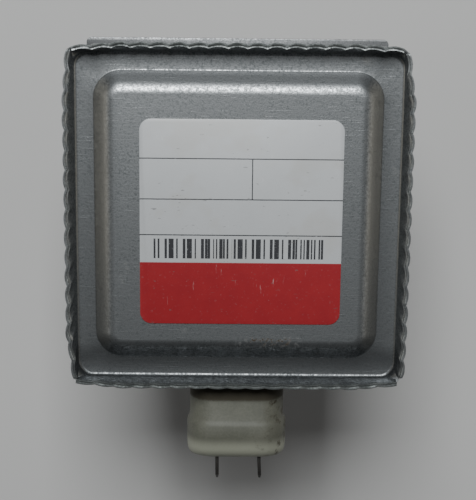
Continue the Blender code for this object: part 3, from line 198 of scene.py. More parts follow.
class Graph:
    """The node graph of one material, with the patterns that the finishes share."""

    def __init__(self, name: str) -> None:
        """Starts an empty material.

        Args:
            name: The material's name.
        """
        self.material = bpy.data.materials.new(name)
        self.material.use_nodes = True
        self.tree = self.material.node_tree
        self.tree.nodes.clear()
        self.place = self.node("TexCoord")["Object"]
        split = self.node("SeparateXYZ", {0: self.place})
        self.x, self.y, self.z = split["X"], split["Y"], split["Z"]

    def node(self, kind: str, sockets: dict[Any, Any] | None = None, **settings: Any) -> Placed:
        """Adds a node.

        Args:
            kind: The node's type, without its ShaderNode prefix.
            sockets: Values or wires of its inputs, by name or number.
            settings: The node's own settings, which are set before its inputs.

        Returns:
            The node in its graph.
        """
        made = self.tree.nodes.new(f"ShaderNode{kind}")
        for name, value in settings.items():
            setattr(made, name, value)
        for name, value in (sockets or {}).items():
            socket = made.inputs[name]
            if isinstance(value, Wire):
                self.tree.links.new(value.socket, socket)
            else:
                socket.default_value = (*value, 1.0) if socket.type == "RGBA" else value
        return Placed(self, made)

    def facing(self, output: str = "Normal") -> Placed:
        """The parts of the surface's normal along each axis."""
        return self.node("SeparateXYZ", {0: self.node("NewGeometry")[output]})

    def noise(self, scale: float, detail: float = 2.0, roughness: float = 0.5) -> Wire:
        """Cloudy noise from about 0.25 to 0.75, with a number of features in a metre."""
        sockets = {"Vector": self.place, "Scale": scale, "Detail": detail, "Roughness": roughness}
        return self.node("TexNoise", sockets)["Fac"]

    def streaks(self, scale: Triple, detail: float = 3.0, roughness: float = 0.6, turn: float = 0.0) -> Wire:
        """Noise that is drawn out along an axis.

        Args:
            scale: How many features there are in a metre along each axis.
            detail: Octaves of finer noise.
            roughness: How strong the finer octaves are.
            turn: How far it is turned about Z, in radians.

        Returns:
            The noise.
        """
        where = self.node("Mapping", {"Vector": self.place, "Rotation": (0.0, 0.0, turn), "Scale": scale})[0]
        sockets = {"Vector": where, "Scale": 1.0, "Detail": detail, "Roughness": roughness}
        return self.node("TexNoise", sockets)["Fac"]

    def cells(self, scale: float) -> Placed:
        """A Voronoi pattern with a number of cells in a metre."""
        return self.node("TexVoronoi", {"Vector": self.place, "Scale": scale})

    def chips(self, scale: float, span: Pair, spread: float, where: Pair) -> Wire:
        """Small pits that gather in some places.

        Args:
            scale: How many there could be in a metre.
            span: How far from its middle a pit begins to fade, and where it ends.
            spread: How many gathering places there are in a metre.
            where: The noise from which pits begin to show, and from which all do.

        Returns:
            1 in a pit, else 0.
        """
        pit = self.ease(self.cells(scale)["Distance"], *span, 1.0, 0.0)
        return pit * self.ease(self.noise(spread), *where)

    def ease(self, value: Wire, low: float, high: float, start: float = 0.0, end: float = 1.0) -> Wire:
        """A smooth step.

        Args:
            value: What it follows.
            low: The value at which it starts.
            high: The value at which it ends.
            start: What it gives up to low.
            end: What it gives from high on.

        Returns:
            The step.
        """
        sockets = {"Value": value, "From Min": low, "From Max": high, "To Min": start, "To Max": end}
        return self.node("MapRange", sockets, interpolation_type="SMOOTHSTEP")["Result"]

    def blend(self, share: Wire, first: Any, second: Any) -> Wire:
        """A colour between two colours, the second where the share is 1."""
        return self.node("Mix", {0: share, 6: first, 7: second}, data_type="RGBA")[2]

    def bump(self, height: Wire, depth: float, under: Wire | None = None) -> Wire:
        """A normal tilted by a height pattern of a depth in metres, over another normal if one is given."""
        normal = {} if under is None else {"Normal": under}
        return self.node("Bump", {"Height": height, "Distance": depth, "Strength": 1.0, **normal})["Normal"]

    def surface(self, **sockets: Any) -> None:
        """Ends the graph with a Principled shader, whose sockets are named with underscores."""
        named = {name.replace("_", " "): value for name, value in sockets.items()}
        self.node("OutputMaterial", {"Surface": self.node("BsdfPrincipled", named)["BSDF"]})


# ---------------------------------------------------------------- finishes


@dataclass(frozen=True)
class Finish:
    """A finish that pieces are given."""

    name: str

    def paint(self, graph: Graph) -> None:
        """Builds the finish in a graph."""
        raise NotImplementedError

    def material(self) -> bpy.types.Material:
        """The finish as a new material."""
        graph = Graph(self.name)
        self.paint(graph)
        return graph.material


@dataclass(frozen=True)
class ZincSheet(Finish):
    """Zinc-plated sheet steel: a fine orange peel, dull and bright grains, and soft stains.

    Three shares paint shade on walls and on bent faces and light on faces that look along X.
    The heights and places are those of the crimped rim, where shade and a highlight are painted.
    """

    name: str = "zinc_sheet"
    bright: Colour = (0.50, 0.515, 0.52)
    dull: Colour = (0.165, 0.175, 0.178)
    stain: Colour = (0.17, 0.16, 0.13)
    # Colours of painted light and shade: shade on bent faces, light on X-facing sides, shade on walls,
    # towards -Y, in the recess and on the rim's edges, and the rubbed edges' highlight.
    bent_shade_tone: Colour = (0.09, 0.095, 0.10)
    side_light_tone: Colour = (0.52, 0.50, 0.45)
    wall_shade_tone: Colour = (0.035, 0.04, 0.045)
    shade_tone: Colour = (0.02, 0.022, 0.024)
    rim_shade_tone: Colour = (0.10, 0.11, 0.105)
    rubbed_highlight_tone: Colour = (0.66, 0.68, 0.66)
    soil_tone: Colour = (0.045, 0.032, 0.02)
    grain: float = 2700.0
    roughness: float = 0.455
    metal: float = 0.97
    # Shares of painted shade on walls and bent faces, and of painted light on X-facing sides.
    wall_shade: float = 0.0
    bent_shade: float = 0.0
    lit_sides: float = 0.0
    edge_height: float | None = None
    rim_ends: Pair = (0.0430, 0.0450)
    rim_rise: Pair = (0.0852, 0.0864)
    foot_rise: Pair = (0.0833, 0.0836)
    # Where the painted shade towards -Y starts and where it is full.
    shade_span: Pair | None = None
    soiled: Pair | None = None

    def paint(self, graph: Graph) -> None:
        """Mixes grains of two greys, then the painted light and shade of faces, the rim's rubbed edges with
        their painted highlight and shade, and any soiled place.

        Args:
            graph: The graph.
        """
        grain = graph.noise(self.grain, 2.0, 0.6)
        coarse = graph.noise(self.grain * 0.55, 2.0, 0.6)
        cloud = graph.noise(55.0, 4.0, 0.55)
        crystal = graph.node("SeparateColor", {0: graph.cells(self.grain * 0.45)["Color"]})["Red"]
        speck = graph.ease(grain * 0.5 + coarse * 0.5, 0.42, 0.58)
        share = speck * 0.60 + crystal * 0.28 + graph.ease(cloud, 0.3, 0.7) * 0.12
        stained = graph.ease(graph.noise(160.0, 5.0, 0.75), 0.60, 0.76) * 0.35
        colour = graph.blend(stained, graph.blend(share, self.dull, self.bright), self.stain)
        rough = self.roughness + (0.5 - share) * 0.22 + stained * 0.25
        metallic = self.metal - stained * 0.35
        # Painted light and shade on faces and walls, towards -Y and in the recess.
        colour = self.toned(graph, colour, cloud)
        if self.edge_height is not None:
            edge = graph.z > self.edge_height
            # Painted shade on the rim's cut edges along the ±Y sides.
            tarnished = edge * graph.ease(abs(graph.y), *self.rim_ends)
            # Rubbed bright cut edges, with a painted highlight on their up-facing tops, weaker along the ±Y
            # sides.
            rubbed_highlight = edge * graph.ease(graph.facing("True Normal")["Z"], 0.30, 0.6)
            rubbed_highlight = rubbed_highlight * graph.ease(graph.noise(420.0), 0.38, 0.60, 0.25, 1.0)
            rubbed_highlight = rubbed_highlight * graph.ease(abs(graph.y), *self.rim_ends, 1.0, 0.25)
            colour = graph.blend(tarnished * 0.7, colour, self.rim_shade_tone)
            colour = graph.blend(rubbed_highlight * 0.35, colour, self.rubbed_highlight_tone)
            rough = rough + tarnished * 0.25 - rubbed_highlight * 0.08
        if self.soiled is not None:
            along, across = abs(graph.x - self.soiled[0]), abs(graph.y - self.soiled[1])
            near = graph.ease(along, 0.004, 0.010, 1.0, 0.0) * graph.ease(across, 0.0006, 0.0020, 1.0, 0.0)
            dirt = near * graph.ease(graph.noise(900.0, 3.0, 0.7), 0.50, 0.60)
            colour = graph.blend(dirt, colour, self.soil_tone)
            rough = rough.higher(dirt * 0.85)
            metallic = metallic * (1 - dirt)
        relief = graph.bump(grain, 0.00002, graph.bump(coarse, 0.00002))
        scratch = graph.streaks((90.0, 2600.0, 90.0), 2.0, 0.5, 0.5)
        relief = graph.bump(graph.ease(scratch, 0.62, 0.70), 0.000006, relief)
        graph.surface(Base_Color=colour, Metallic=metallic, Roughness=rough, Normal=relief)

    def toned(self, graph: Graph, colour: Wire, cloud: Wire) -> Wire:
        """Paints shade on bent faces and walls, light on faces that look along X, and shade towards -Y and
        in the rim's recess.

        Args:
            graph: The graph.
            colour: The sheet's colour.
            cloud: A slow noise that the painted shade follows.

        Returns:
            The colour with its painted light and shade.
        """
        facing = graph.facing()
        upright = abs(facing["Z"])
        if self.bent_shade:
            # Painted shade on bent faces such as the panel's slopes.
            bent = graph.ease(upright, 0.80, 0.93, 1.0, 0.0)
            colour = graph.blend(bent * self.bent_shade, colour, self.bent_shade_tone)
        if self.lit_sides:
            # Painted light on faces that look along X, weaker towards -Y.
            side_light = graph.ease(abs(facing["X"]), 0.30, 0.60) * (upright > 0.6)
            side_light = side_light * graph.ease(graph.y, -0.036, 0.006, 0.45, 1.0)
            colour = graph.blend(side_light * self.lit_sides, colour, self.side_light_tone)
        if self.wall_shade:
            # Painted shade on upright walls, patchy with a slow noise.
            wall = graph.ease(upright, 0.25, 0.80, 1.0, 0.0) * graph.ease(cloud, 0.25, 0.60, 0.8, 1.0)
            colour = graph.blend(wall * self.wall_shade, colour, self.wall_shade_tone)
        if self.shade_span is not None:
            # Painted shade that deepens towards -Y and is lighter at the rim's top, and painted shade in the
            # recess at the wall's foot.
            place = graph.y + (cloud - 0.5) * 0.004
            low_shade = graph.ease(place, *self.shade_span, 0.0, 0.5) * graph.ease(graph.z, *self.rim_rise, 1.0, 0.5)
            low_shade = low_shade.higher(graph.ease(graph.z, *self.foot_rise, 0.2, 0.0))
            colour = graph.blend(low_shade, colour, self.shade_tone)
        return colour


@dataclass(frozen=True)
class RolledMetal(Finish):
    """A bare metal with rolling or drawing lines, clouds of tarnish and small pits."""

    bright: Colour = (0.9, 0.9, 0.9)
    tarnish: Colour = (0.6, 0.6, 0.6)
    roughness: float = 0.28
    lines: Triple = (60.0, 1800.0, 1800.0)
    line_depth: float = 0.000012
    tarnished: float = 0.5

    def paint(self, graph: Graph) -> None:
        """Lays lines along one axis over clouds of tarnish.

        Args:
            graph: The graph.
        """
        line = graph.streaks(self.lines)
        cloud = graph.ease(graph.noise(140.0, 5.0, 0.62), 0.36, 0.68)
        pit = graph.chips(1500.0, (0.12, 0.26), 210.0, (0.48, 0.62))
        toned = (cloud * self.tarnished + line * 0.35 + pit * 0.4).lower(1.0)
        colour = graph.blend(toned, self.bright, self.tarnish)
        relief = graph.bump(line, self.line_depth, graph.bump(1 - pit, 0.00001))
        rough = self.roughness + toned * 0.24
        graph.surface(Base_Color=colour, Metallic=1.0, Roughness=rough, Normal=relief)


@dataclass(frozen=True)
class Ferrite(Finish):
    """Pressed and sintered ferrite: near-black grey with a dry, grainy skin and paler chips."""

    name: str = "ferrite"

    def paint(self, graph: Graph) -> None:
        """Mixes a fine grain with pale dust.

        Args:
            graph: The graph.
        """
        grain = graph.noise(2200.0, 3.0, 0.7)
        patch = graph.ease(graph.noise(170.0, 5.0, 0.6), 0.40, 0.70)
        chip = graph.chips(700.0, (0.10, 0.20), 300.0, (0.52, 0.60))
        colour = graph.blend(grain * 0.5 + patch * 0.35, (0.018, 0.018, 0.019), (0.085, 0.082, 0.080))
        colour = graph.blend(chip * 0.6, colour, (0.13, 0.125, 0.12))
        relief = graph.bump(1 - chip, 0.00006, graph.bump(grain, 0.00004))
        graph.surface(Base_Color=colour, Metallic=0.15, Roughness=0.50 + grain * 0.25, Normal=relief)


@dataclass(frozen=True)
class Alumina(Finish):
    """Fired alumina: off-white, with a grey metallised band at each end."""

    name: str = "alumina"
    low: float = -0.0172
    high: float = -0.0092

    def paint(self, graph: Graph) -> None:
        """Mixes warm white specks and the metallised bands.

        Args:
            graph: The graph.
        """
        grain = graph.noise(1500.0, 3.0, 0.6)
        share = grain * 0.5 + graph.noise(180.0, 4.0, 0.6) * 0.5
        colour = graph.blend(share, (0.86, 0.80, 0.76), (0.96, 0.93, 0.90))
        reach = (self.high - self.low) / 2
        edge = abs(graph.z - (self.low + self.high) / 2) + (graph.noise(600.0) - 0.5) * 0.0003
        band = graph.ease(edge, reach - 0.0009, reach - 0.0007)
        colour = graph.blend(band, colour, (0.42, 0.41, 0.40))
        relief = graph.bump(grain, 0.00001)
        graph.surface(Base_Color=colour, Metallic=band * 0.8, Roughness=0.34 + grain * 0.15, Normal=relief)


@dataclass(frozen=True)
class MouldedPlastic(Finish):
    """Filled cream plastic in dark olive tones: flow streaks and brown dirt, with a painted shadow of the
    box's rim near the box and painted light on the rounded nose.
    """

    name: str = "moulded_plastic"
    pale: Colour = (0.128, 0.128, 0.102)
    olive: Colour = (0.084, 0.085, 0.066)
    # Painted light: the rounded nose's paler colour, and the span over which it fades in.
    nose_light_tone: Colour = (0.40, 0.405, 0.325)
    nose_light_span: Pair = (-0.0666, -0.0624)
    # The brown of the dirt, which also colours the painted shadow near the box.
    dirt: Colour = (0.036, 0.029, 0.017)
    dirty_span: Pair = (0.0035, 0.0125)
    # Where the painted shadow of the box's rim fades out on the case.
    rim_shadow_span: Pair = (-0.0525, -0.0516)

    def paint(self, graph: Graph) -> None:
        """Mixes streaks and specks, paints light on the nose, then the dirt, thickest towards +X, and a
        painted shadow near the box in the dirt's colour.

        Args:
            graph: The graph.
        """
        streak = graph.streaks((420.0, 160.0, 400.0), 3.0, 0.55)
        speck = graph.noise(1700.0, 2.0, 0.6)
        cloud = graph.noise(150.0, 4.0, 0.6)
        share = streak * 0.15 + speck * 0.35 + cloud * 0.5
        colour = graph.blend(graph.ease(share, 0.30, 0.70), self.olive, self.pale)
        place = graph.y + (speck - 0.5) * 0.0008
        # Painted light: the rounded nose is paler than the body.
        nose_lit = graph.ease(place, *self.nose_light_span, 1.0, 0.0)
        colour = graph.blend(nose_lit * 0.82, colour, self.nose_light_tone)
        side = graph.ease(graph.x + (cloud - 0.5) * 0.012, *self.dirty_span)
        grime = graph.ease(graph.noise(420.0, 5.0, 0.68), 0.50, 0.68)
        dirt = side * (grime * 0.75 + 0.16) + grime * graph.ease(cloud, 0.50, 0.66) * 0.30
        # Painted shadow of the box's rim on the case next to the box, mixed into the dirt.
        dirt = dirt.higher(graph.ease(place, *self.rim_shadow_span, 0.0, 0.85))
        colour = graph.blend(dirt.lower(1.0), colour, self.dirt)
        relief = graph.bump(streak, 0.00001, graph.bump(speck, 0.00002))
        rough = 0.52 + dirt * 0.3 + speck * 0.1
        graph.surface(Base_Color=colour, Roughness=rough, Normal=relief, Specular_IOR_Level=0.45)


@dataclass(frozen=True)
class KnittedWire(Finish):
    """Thin knitted steel wire, bright on its bends."""

    name: str = "knitted_wire"

    def paint(self, graph: Graph) -> None:
        """Mixes bright and dull lengths of wire.

        Args:
            graph: The graph.
        """
        length = graph.noise(900.0, 2.0, 0.5)
        colour = graph.blend(graph.ease(length, 0.40, 0.60), (0.50, 0.50, 0.49), (0.80, 0.80, 0.78))
        relief = graph.bump(graph.noise(5000.0), 0.00001)
        graph.surface(Base_Color=colour, Metallic=1.0, Roughness=0.22 + length * 0.2, Normal=relief)


@dataclass(frozen=True)
class PrintedLabel(Finish):
    """Foil label stock with ruled fields, a plain strip of bars and a plain red lower field."""

    name: str = "printed_label"
    stock: Colour = (0.60, 0.61, 0.62)
    ink: Colour = (0.05, 0.05, 0.055)
    red: Colour = (0.42, 0.030, 0.035)
    rules: Triple = (0.0159, 0.0052, -0.0043)
    rule_width: float = 0.00028
    divider: float = 0.00355
    red_top: float = -0.0117
    bars: tuple[float, float, float, float] = (-0.0221, 0.0223, -0.0106, -0.0053)
    bar_pitch: float = 0.00044

    def paint(self, graph: Graph) -> None:
        """Prints the fields over the stock, then wears the ink and scuffs the foil.

        Args:
            graph: The graph.
        """
        y = graph.y
        fibre = graph.noise(2600.0, 2.0, 0.6)
        cloud = graph.noise(90.0, 4.0, 0.55)
        colour = graph.blend(cloud * 0.6 + fibre * 0.4, (0.52, 0.53, 0.54), self.stock)
        stain = graph.ease(graph.noise(60.0, 3.0, 0.6), 0.50, 0.62)
        colour = graph.blend(stain * 0.16, colour, (0.42, 0.38, 0.30))
        wander = (graph.noise(700.0) - 0.5) * 0.00006
        faded = graph.ease(graph.noise(1300.0, 4.0, 0.7), 0.60, 0.72)
        colour = graph.blend(self.inked(graph, wander) * (1 - faded * 0.7), colour, self.ink)
        field_share = graph.ease(y + wander, self.red_top - 0.0001, self.red_top + 0.0001, 1.0, 0.0)
        red = graph.blend(graph.noise(240.0, 4.0, 0.6), (0.33, 0.022, 0.030), self.red)
        colour = graph.blend(field_share * (1 - faded * 0.15), colour, red)
        scuff = graph.ease(graph.streaks((1400.0, 160.0, 1.0), 3.0, 0.6, 0.7), 0.66, 0.74)
        scuff = scuff * graph.ease(cloud, 0.50, 0.62)
        colour = graph.blend(scuff * 0.5, colour, (0.74, 0.74, 0.73))
        scratch = graph.ease(graph.streaks((500.0, 1700.0, 1.0), 2.0, 0.5, 0.6), 0.66, 0.70)
        scratch = scratch * graph.ease(graph.noise(170.0), 0.54, 0.60)
        colour = graph.blend(scratch * 0.55, colour, (0.16, 0.155, 0.15))
        relief = graph.bump(cloud, 0.00006, graph.bump(fibre, 0.000006))
        rough = 0.38 + fibre * 0.12 + scuff * 0.2
        graph.surface(Base_Color=colour, Metallic=0.12, Roughness=rough, Normal=relief)

    def inked(self, graph: Graph, wander: Wire) -> Wire:
        """Where the rules, the divider and the bars are printed.

        Args:
            graph: The graph.
            wander: How far the printed edges wander.

        Returns:
            1 in ink, else 0.
        """
        x, y = graph.x, graph.y
        left, right, low, high = self.bars
        count = x / self.bar_pitch
        tone = (count * 1.7).sine() + (count * 0.61 + 1.3).sine() + (count * 2.9 + 0.4).sine()
        ink = (x > left) * (x < right) * (y > low) * (y < high) * (tone > -0.05)
        between = (y < self.rules[0]) * (y > self.rules[1])
        ink = ink.higher((abs(x - self.divider + wander) < self.rule_width / 2) * between)
        for rule in self.rules:
            ink = ink.higher(abs(y - rule + wander) < self.rule_width / 2)
        return ink


@dataclass(frozen=True)
class PaleFloor(Finish):
    """The plain matt floor."""

    name: str = "pale_floor"

    def paint(self, graph: Graph) -> None:
        """A pale grey with the faintest cloud.

        Args:
            graph: The graph.
        """
        colour = graph.blend(graph.noise(6.0, 3.0, 0.5), (0.60, 0.59, 0.58), (0.63, 0.62, 0.61))
        graph.surface(Base_Color=colour, Roughness=0.9, Specular_IOR_Level=0.2)


FINISHES: dict[Slot, Finish] = {
    Slot.ZINC_STEEL: ZincSheet(),
    Slot.ALUMINIUM: RolledMetal("rolled_aluminium", (0.84, 0.85, 0.86), (0.60, 0.61, 0.62), 0.30),
    Slot.BRIGHT_STEEL: RolledMetal(
        "bright_steel", (0.78, 0.78, 0.77), (0.48, 0.46, 0.43), 0.24, (400.0, 400.0, 2600.0)
    ),
    Slot.IRON: RolledMetal("soft_iron", (0.50, 0.49, 0.48), (0.24, 0.20, 0.17), 0.38),
    Slot.COPPER: RolledMetal("copper", (0.93, 0.56, 0.42), (0.42, 0.19, 0.11), 0.30, (500.0, 500.0, 2200.0)),
    Slot.ENAMELLED_COPPER: RolledMetal(
        "enamelled_copper", (0.70, 0.26, 0.10), (0.36, 0.10, 0.04), 0.20, (900.0, 900.0, 900.0)
    ),
    Slot.TUNGSTEN: RolledMetal("tungsten", (0.52, 0.50, 0.47), (0.30, 0.29, 0.28), 0.34),
    Slot.FERRITE: Ferrite(),
    Slot.ALUMINA: Alumina(),
    Slot.CREAM_PLASTIC: MouldedPlastic(),
    Slot.WIRE_MESH: KnittedWire(),
    Slot.LABEL: PrintedLabel(),
}


class Palette:
    """Every finish of the part, made once."""

    def __init__(self, rim_edge: float) -> None:
        """Makes the materials.

        Args:
            rim_edge: The height above which the crimped sheets' cut edges are rubbed bright, with a painted
                highlight on their tops and painted shade along the ±Y sides.
        """
        self.by_slot = {slot: finish.material() for slot, finish in FINISHES.items()}
        # The cover gets painted shade on walls, bent faces, towards -Y and in its recess, painted light on
        # X-facing faces and a real soiled place. The box gets painted shade towards -Y. Both get painted
        # shade and a highlight on their rims' cut edges.
        self.cover = ZincSheet(
            "zinc_cover",
            (0.53, 0.545, 0.555),
            wall_shade=0.25,
            bent_shade=0.35,
            lit_sides=0.75,
            edge_height=rim_edge,
            shade_span=(-0.0325, -0.0385),
            soiled=(0.0085, -0.0334),
        ).material()
        self.box = ZincSheet("zinc_box", edge_height=rim_edge, shade_span=(-0.0440, -0.0455)).material()
        self.plate = ZincSheet("zinc_plate", (0.36, 0.365, 0.37), (0.17, 0.175, 0.18)).material()
        self.blade = RolledMetal(
            "tarnished_blade", (0.10, 0.095, 0.09), (0.035, 0.03, 0.027), 0.42
        ).material()


# ---------------------------------------------------------------- the bench


class Work:
    """A piece on the bench: a primitive that is shaped in edit mode and finished with modifiers."""

    def __init__(self, name: str) -> None:
        """Takes the primitive that was just added, places it and opens it for editing.

        Args:
            name: The piece's name.
        """
        self.thing = bpy.context.object
        self.thing.name = name
        self.thing.data.name = name
        bpy.ops.object.transform_apply(location=True, rotation=True, scale=True)
        bpy.ops.object.mode_set(mode="EDIT")
        self.pick_all()

    @classmethod
    def sheet(cls, name: str, size: Pair, centre: Sequence[float]) -> "Work":
        """A flat rectangle.

        Args:
            name: The piece's name.
            size: Its lengths along X and Y.
            centre: Its middle.

        Returns:
            The piece.
        """
        clear_selection()
        bpy.ops.mesh.primitive_plane_add(size=1.0, location=tuple(centre))
        bpy.context.object.scale = (*size, 1.0)
        return cls(name)

    @classmethod
    def blank(
        cls, name: str, size: Pair, height: float, corner: Pair, wall: float, place: Pair = ORIGIN
    ) -> "Work":
        """A flat plate with rounded corners.

        Args:
            name: The piece's name.
            size: Its lengths along X and Y.
            height: The height of its upper face.
            corner: The radius of its corners and their number of facets.
            wall: Its thickness.
            place: Its middle.

        Returns:
            The plate.
        """
        made = cls.sheet(name, size, (*place, height))
        made.round_corners(*corner)
        made.face_towards((0, 0, 1))
        made.thicken(wall)
        return made

    @classmethod
    def block(cls, name: str, size: Sequence[float], centre: Sequence[float]) -> "Work":
        """A box, as a tool that cuts others.

        Args:
            name: The piece's name.
            size: Its lengths.
            centre: Its middle.

        Returns:
            The box.
        """
        clear_selection()
        bpy.ops.mesh.primitive_cube_add(size=1.0, location=tuple(centre))
        bpy.context.object.scale = tuple(size)
        return cls(name)

    @classmethod
    def turned(cls, name: str, profile: Profile, steps: int = 64, centre: Pair = ORIGIN) -> "Work":
        """A piece turned about Z: a circle drawn out from one profile point to the next.

        Args:
            name: The piece's name.
            profile: Points as (radius, height); its first and last may be the same, or both get capped.
            steps: Facets round it.
            centre: Its axis.

        Returns:
            The closed piece.
        """
        radius, height = profile[0]
        clear_selection()
        bpy.ops.mesh.primitive_circle_add(
            vertices=steps, radius=radius, fill_type="NOTHING", location=(*centre, height)
        )
        work = cls(name)
        for next_radius, next_height in profile[1:]:
            work.extrude((0.0, 0.0, next_height - height))
            ratio = next_radius / radius
            work.resize((ratio, ratio, 1.0), (*centre, next_height))
            radius, height = next_radius, next_height
        work.weld()
        bpy.ops.mesh.fill_holes(sides=0)
        work.face_outwards()
        return work

    @classmethod
    def bore(cls, name: str, radius: float, span: Pair, steps: int = 64, centre: Pair = ORIGIN) -> "Work":
        """A straight round tool about Z, between two heights."""
        return cls.turned(name, [(radius, height) for height in span], steps, centre)

    def pick_all(self) -> None:
        """Selects the whole mesh."""
        bpy.ops.mesh.select_mode(type=Kind.POINTS.value)
        bpy.ops.mesh.select_all(action="SELECT")

    def weld(self) -> None:
        """Merges the points that lie on each other, and selects the whole mesh."""
        self.pick_all()
        bpy.ops.mesh.remove_doubles(threshold=1e-7)

    def face_outwards(self) -> None:
        """Makes the faces of a closed mesh look outwards."""
        self.pick_all()
        bpy.ops.mesh.normals_make_consistent(inside=False)

    def pick(self, kind: Kind, test: Callable[[Any], bool]) -> None:
        """Selects what passes a test, and nothing else.

        Args:
            kind: Whether points or edges are looked at.
            test: Takes one of them.
        """
        bpy.ops.mesh.select_mode(type=kind.value)
        bpy.ops.mesh.select_all(action="DESELECT")
        mesh = bmesh.from_edit_mesh(self.thing.data)
        for item in mesh.verts if kind is Kind.POINTS else mesh.edges:
            if test(item):
                item.select_set(True)
        bmesh.update_edit_mesh(self.thing.data)

    def pick_edges_at(self, axis: Axis, value: float, within: float = math.inf) -> None:
        """Selects the edges that lie in a plane.

        Args:
            axis: The axis that the plane is square to.
            value: Where the plane crosses that axis.
            within: How far from the middle of the Y axis they may reach.
        """

        def lies(edge: bmesh.types.BMEdge) -> bool:
            """Whether both ends of an edge are in the plane and near enough."""
            ends = [vert.co for vert in edge.verts]
            return all(abs(co[axis.value] - value) < NEAR and abs(co.y) <= within + NEAR for co in ends)

        self.pick(Kind.EDGES, lies)

    def extrude(self, offset: Sequence[float]) -> None:
        """Draws the selection out."""
        bpy.ops.mesh.extrude_region_move(TRANSFORM_OT_translate={"value": tuple(offset)})

    def draw_up(self, heights: Sequence[float]) -> None:
        """Draws the selection up from the first height to each of the next."""
        for low, high in pairwise(heights):
            self.extrude((0.0, 0.0, high - low))

    def fold_sides(
        self, edge: float, height: float, radius: float, reach: float, steps: int, within: float = math.inf
    ) -> None:
        """Folds both X edges of a flat sheet, draws a wall on from each bend and turns the back inwards.

        Args:
            edge: How far the edges are from the middle.
            height: The sheet's height.
            radius: The bends' radius.
            reach: How far above the sheet the walls end, less than 0 where they go down.
            steps: Facets of a bend.
            within: How far from the middle of the Y axis the folded edges reach.
        """
        way = math.copysign(1.0, reach)
        for side in SIDES:
            self.pick_edges_at(Axis.X, side * edge, within)
            centre = (side * edge, 0.0, height + way * radius)
            bpy.ops.mesh.spin(steps=steps, angle=QUARTER, center=centre, axis=(0.0, way * side, 0.0))
            self.extrude((0.0, 0.0, reach - way * radius))
        self.weld()
        self.face_towards((0, 0, -way))

    def resize(self, factors: Sequence[float], centre: Sequence[float]) -> None:
        """Scales the selection about a point."""
        bpy.ops.transform.resize(value=tuple(factors), center_override=tuple(centre))

    def round_corners(self, radius: float, steps: int) -> None:
        """Rounds the selected points of a flat outline."""
        bpy.ops.mesh.bevel(offset=radius, offset_type="OFFSET", segments=steps, affect="VERTICES")

    def face_towards(self, facing: Sequence[float]) -> None:
        """Makes an open sheet's faces agree.

        Args:
            facing: The way that the largest of them looks.
        """
        self.face_outwards()
        mesh = bmesh.from_edit_mesh(self.thing.data)
        largest = max(mesh.faces, key=lambda face: face.calc_area())
        if largest.normal.dot(Vector(facing)) < 0:
            bpy.ops.mesh.flip_normals()

    def reshape(self, move: Callable[[Vector], Vector]) -> None:
        """Moves every point of the mesh by a rule that no operator has.

        Args:
            move: Takes a point and gives its place.
        """
        mesh = bmesh.from_edit_mesh(self.thing.data)
        for vert in mesh.verts:
            vert.co = move(vert.co)
        bmesh.update_edit_mesh(self.thing.data)

    def close(self) -> None:
        """Leaves edit mode with the piece alone selected."""
        clear_selection()
        self.thing.select_set(True)
        bpy.context.view_layer.objects.active = self.thing

    def modify(self, kind: str, **settings: Any) -> None:
        """Adds a modifier and applies it.

        Args:
            kind: The modifier's type.
            settings: Its settings.
        """
        self.close()
        modifier = self.thing.modifiers.new(kind.lower(), kind)
        for name, value in settings.items():
            setattr(modifier, name, value)
        bpy.ops.object.modifier_apply(modifier=modifier.name)

    def thicken(self, thickness: float) -> None:
        """Gives a sheet its wall, on the side that its faces turn their backs to."""
        self.modify("SOLIDIFY", thickness=thickness, offset=-1.0, use_even_offset=True)

    def trim_above(self, height: float) -> None:
        """Presses down what the wall's thickness raised above a height."""
        for vert in self.thing.data.vertices:
            vert.co.z = min(vert.co.z, height)

    def pull_in(self, reach: float, outside: float, above: float) -> None:
        """Sets back the points that the wall's thickness threw far out of a tight fold.

        Args:
            reach: How far a point may stand from the middle of its neighbours.
            outside: Only points this far from the middle along X or Y are looked at.
            above: Only points above this height are looked at.
        """
        mesh = bmesh.new()
        mesh.from_mesh(self.thing.data)
        for vert in mesh.verts:
            if vert.co.z > above and max(abs(vert.co.x), abs(vert.co.y)) > outside:
                others = [edge.other_vert(vert).co for edge in vert.link_edges]
                middle = sum(others, Vector()) / len(others)
                if (vert.co - middle).length > reach:
                    vert.co = middle
        mesh.to_mesh(self.thing.data)
        mesh.free()

    def soften(self, width: float, steps: int = 2, angle: float = 35.0) -> None:
        """Bevels the edges that are sharper than an angle in degrees."""
        limit = {"limit_method": "ANGLE", "angle_limit": math.radians(angle)}
        self.modify("BEVEL", width=width, segments=steps, use_clamp_overlap=True, **limit)

    def combine(
        self, others: Sequence["Work"], joining: Joining = Joining.CUT, solver: Solver = Solver.EXACT
    ) -> None:
        """Cuts other pieces out of this one, or unites them with it, and throws them away.

        Args:
            others: The tools.
            joining: What they do.
            solver: The way to find it.
        """
        for other in others:
            other.close()
            self.modify("BOOLEAN", object=other.thing, operation=joining.value, solver=solver.value)
            bpy.data.objects.remove(other.thing)

    def turn(self, axis: Axis, offset: Sequence[float]) -> None:
        """Turns the closed piece a quarter about the origin and then moves it.

        Args:
            axis: The axis that it turns about.
            offset: The move.
        """
        self.close()
        self.thing.rotation_euler[axis.value] = QUARTER
        self.thing.location = tuple(offset)
        bpy.ops.object.transform_apply(location=True, rotation=True, scale=True)

    def copy(self, name: str, offset: Sequence[float]) -> "Work":
        """A second piece with its own mesh.

        Args:
            name: Its name.
            offset: How far it is from this one.

        Returns:
            The copy.
        """
        self.close()
        bpy.ops.object.duplicate(linked=False)
        bpy.context.object.location = tuple(offset)
        made = Work(name)
        made.close()
        return made

    def shade(self, angle: float) -> None:
        """Smooths the shading up to an angle in degrees."""
        self.close()
        bpy.ops.object.shade_smooth_by_angle(angle=math.radians(angle))


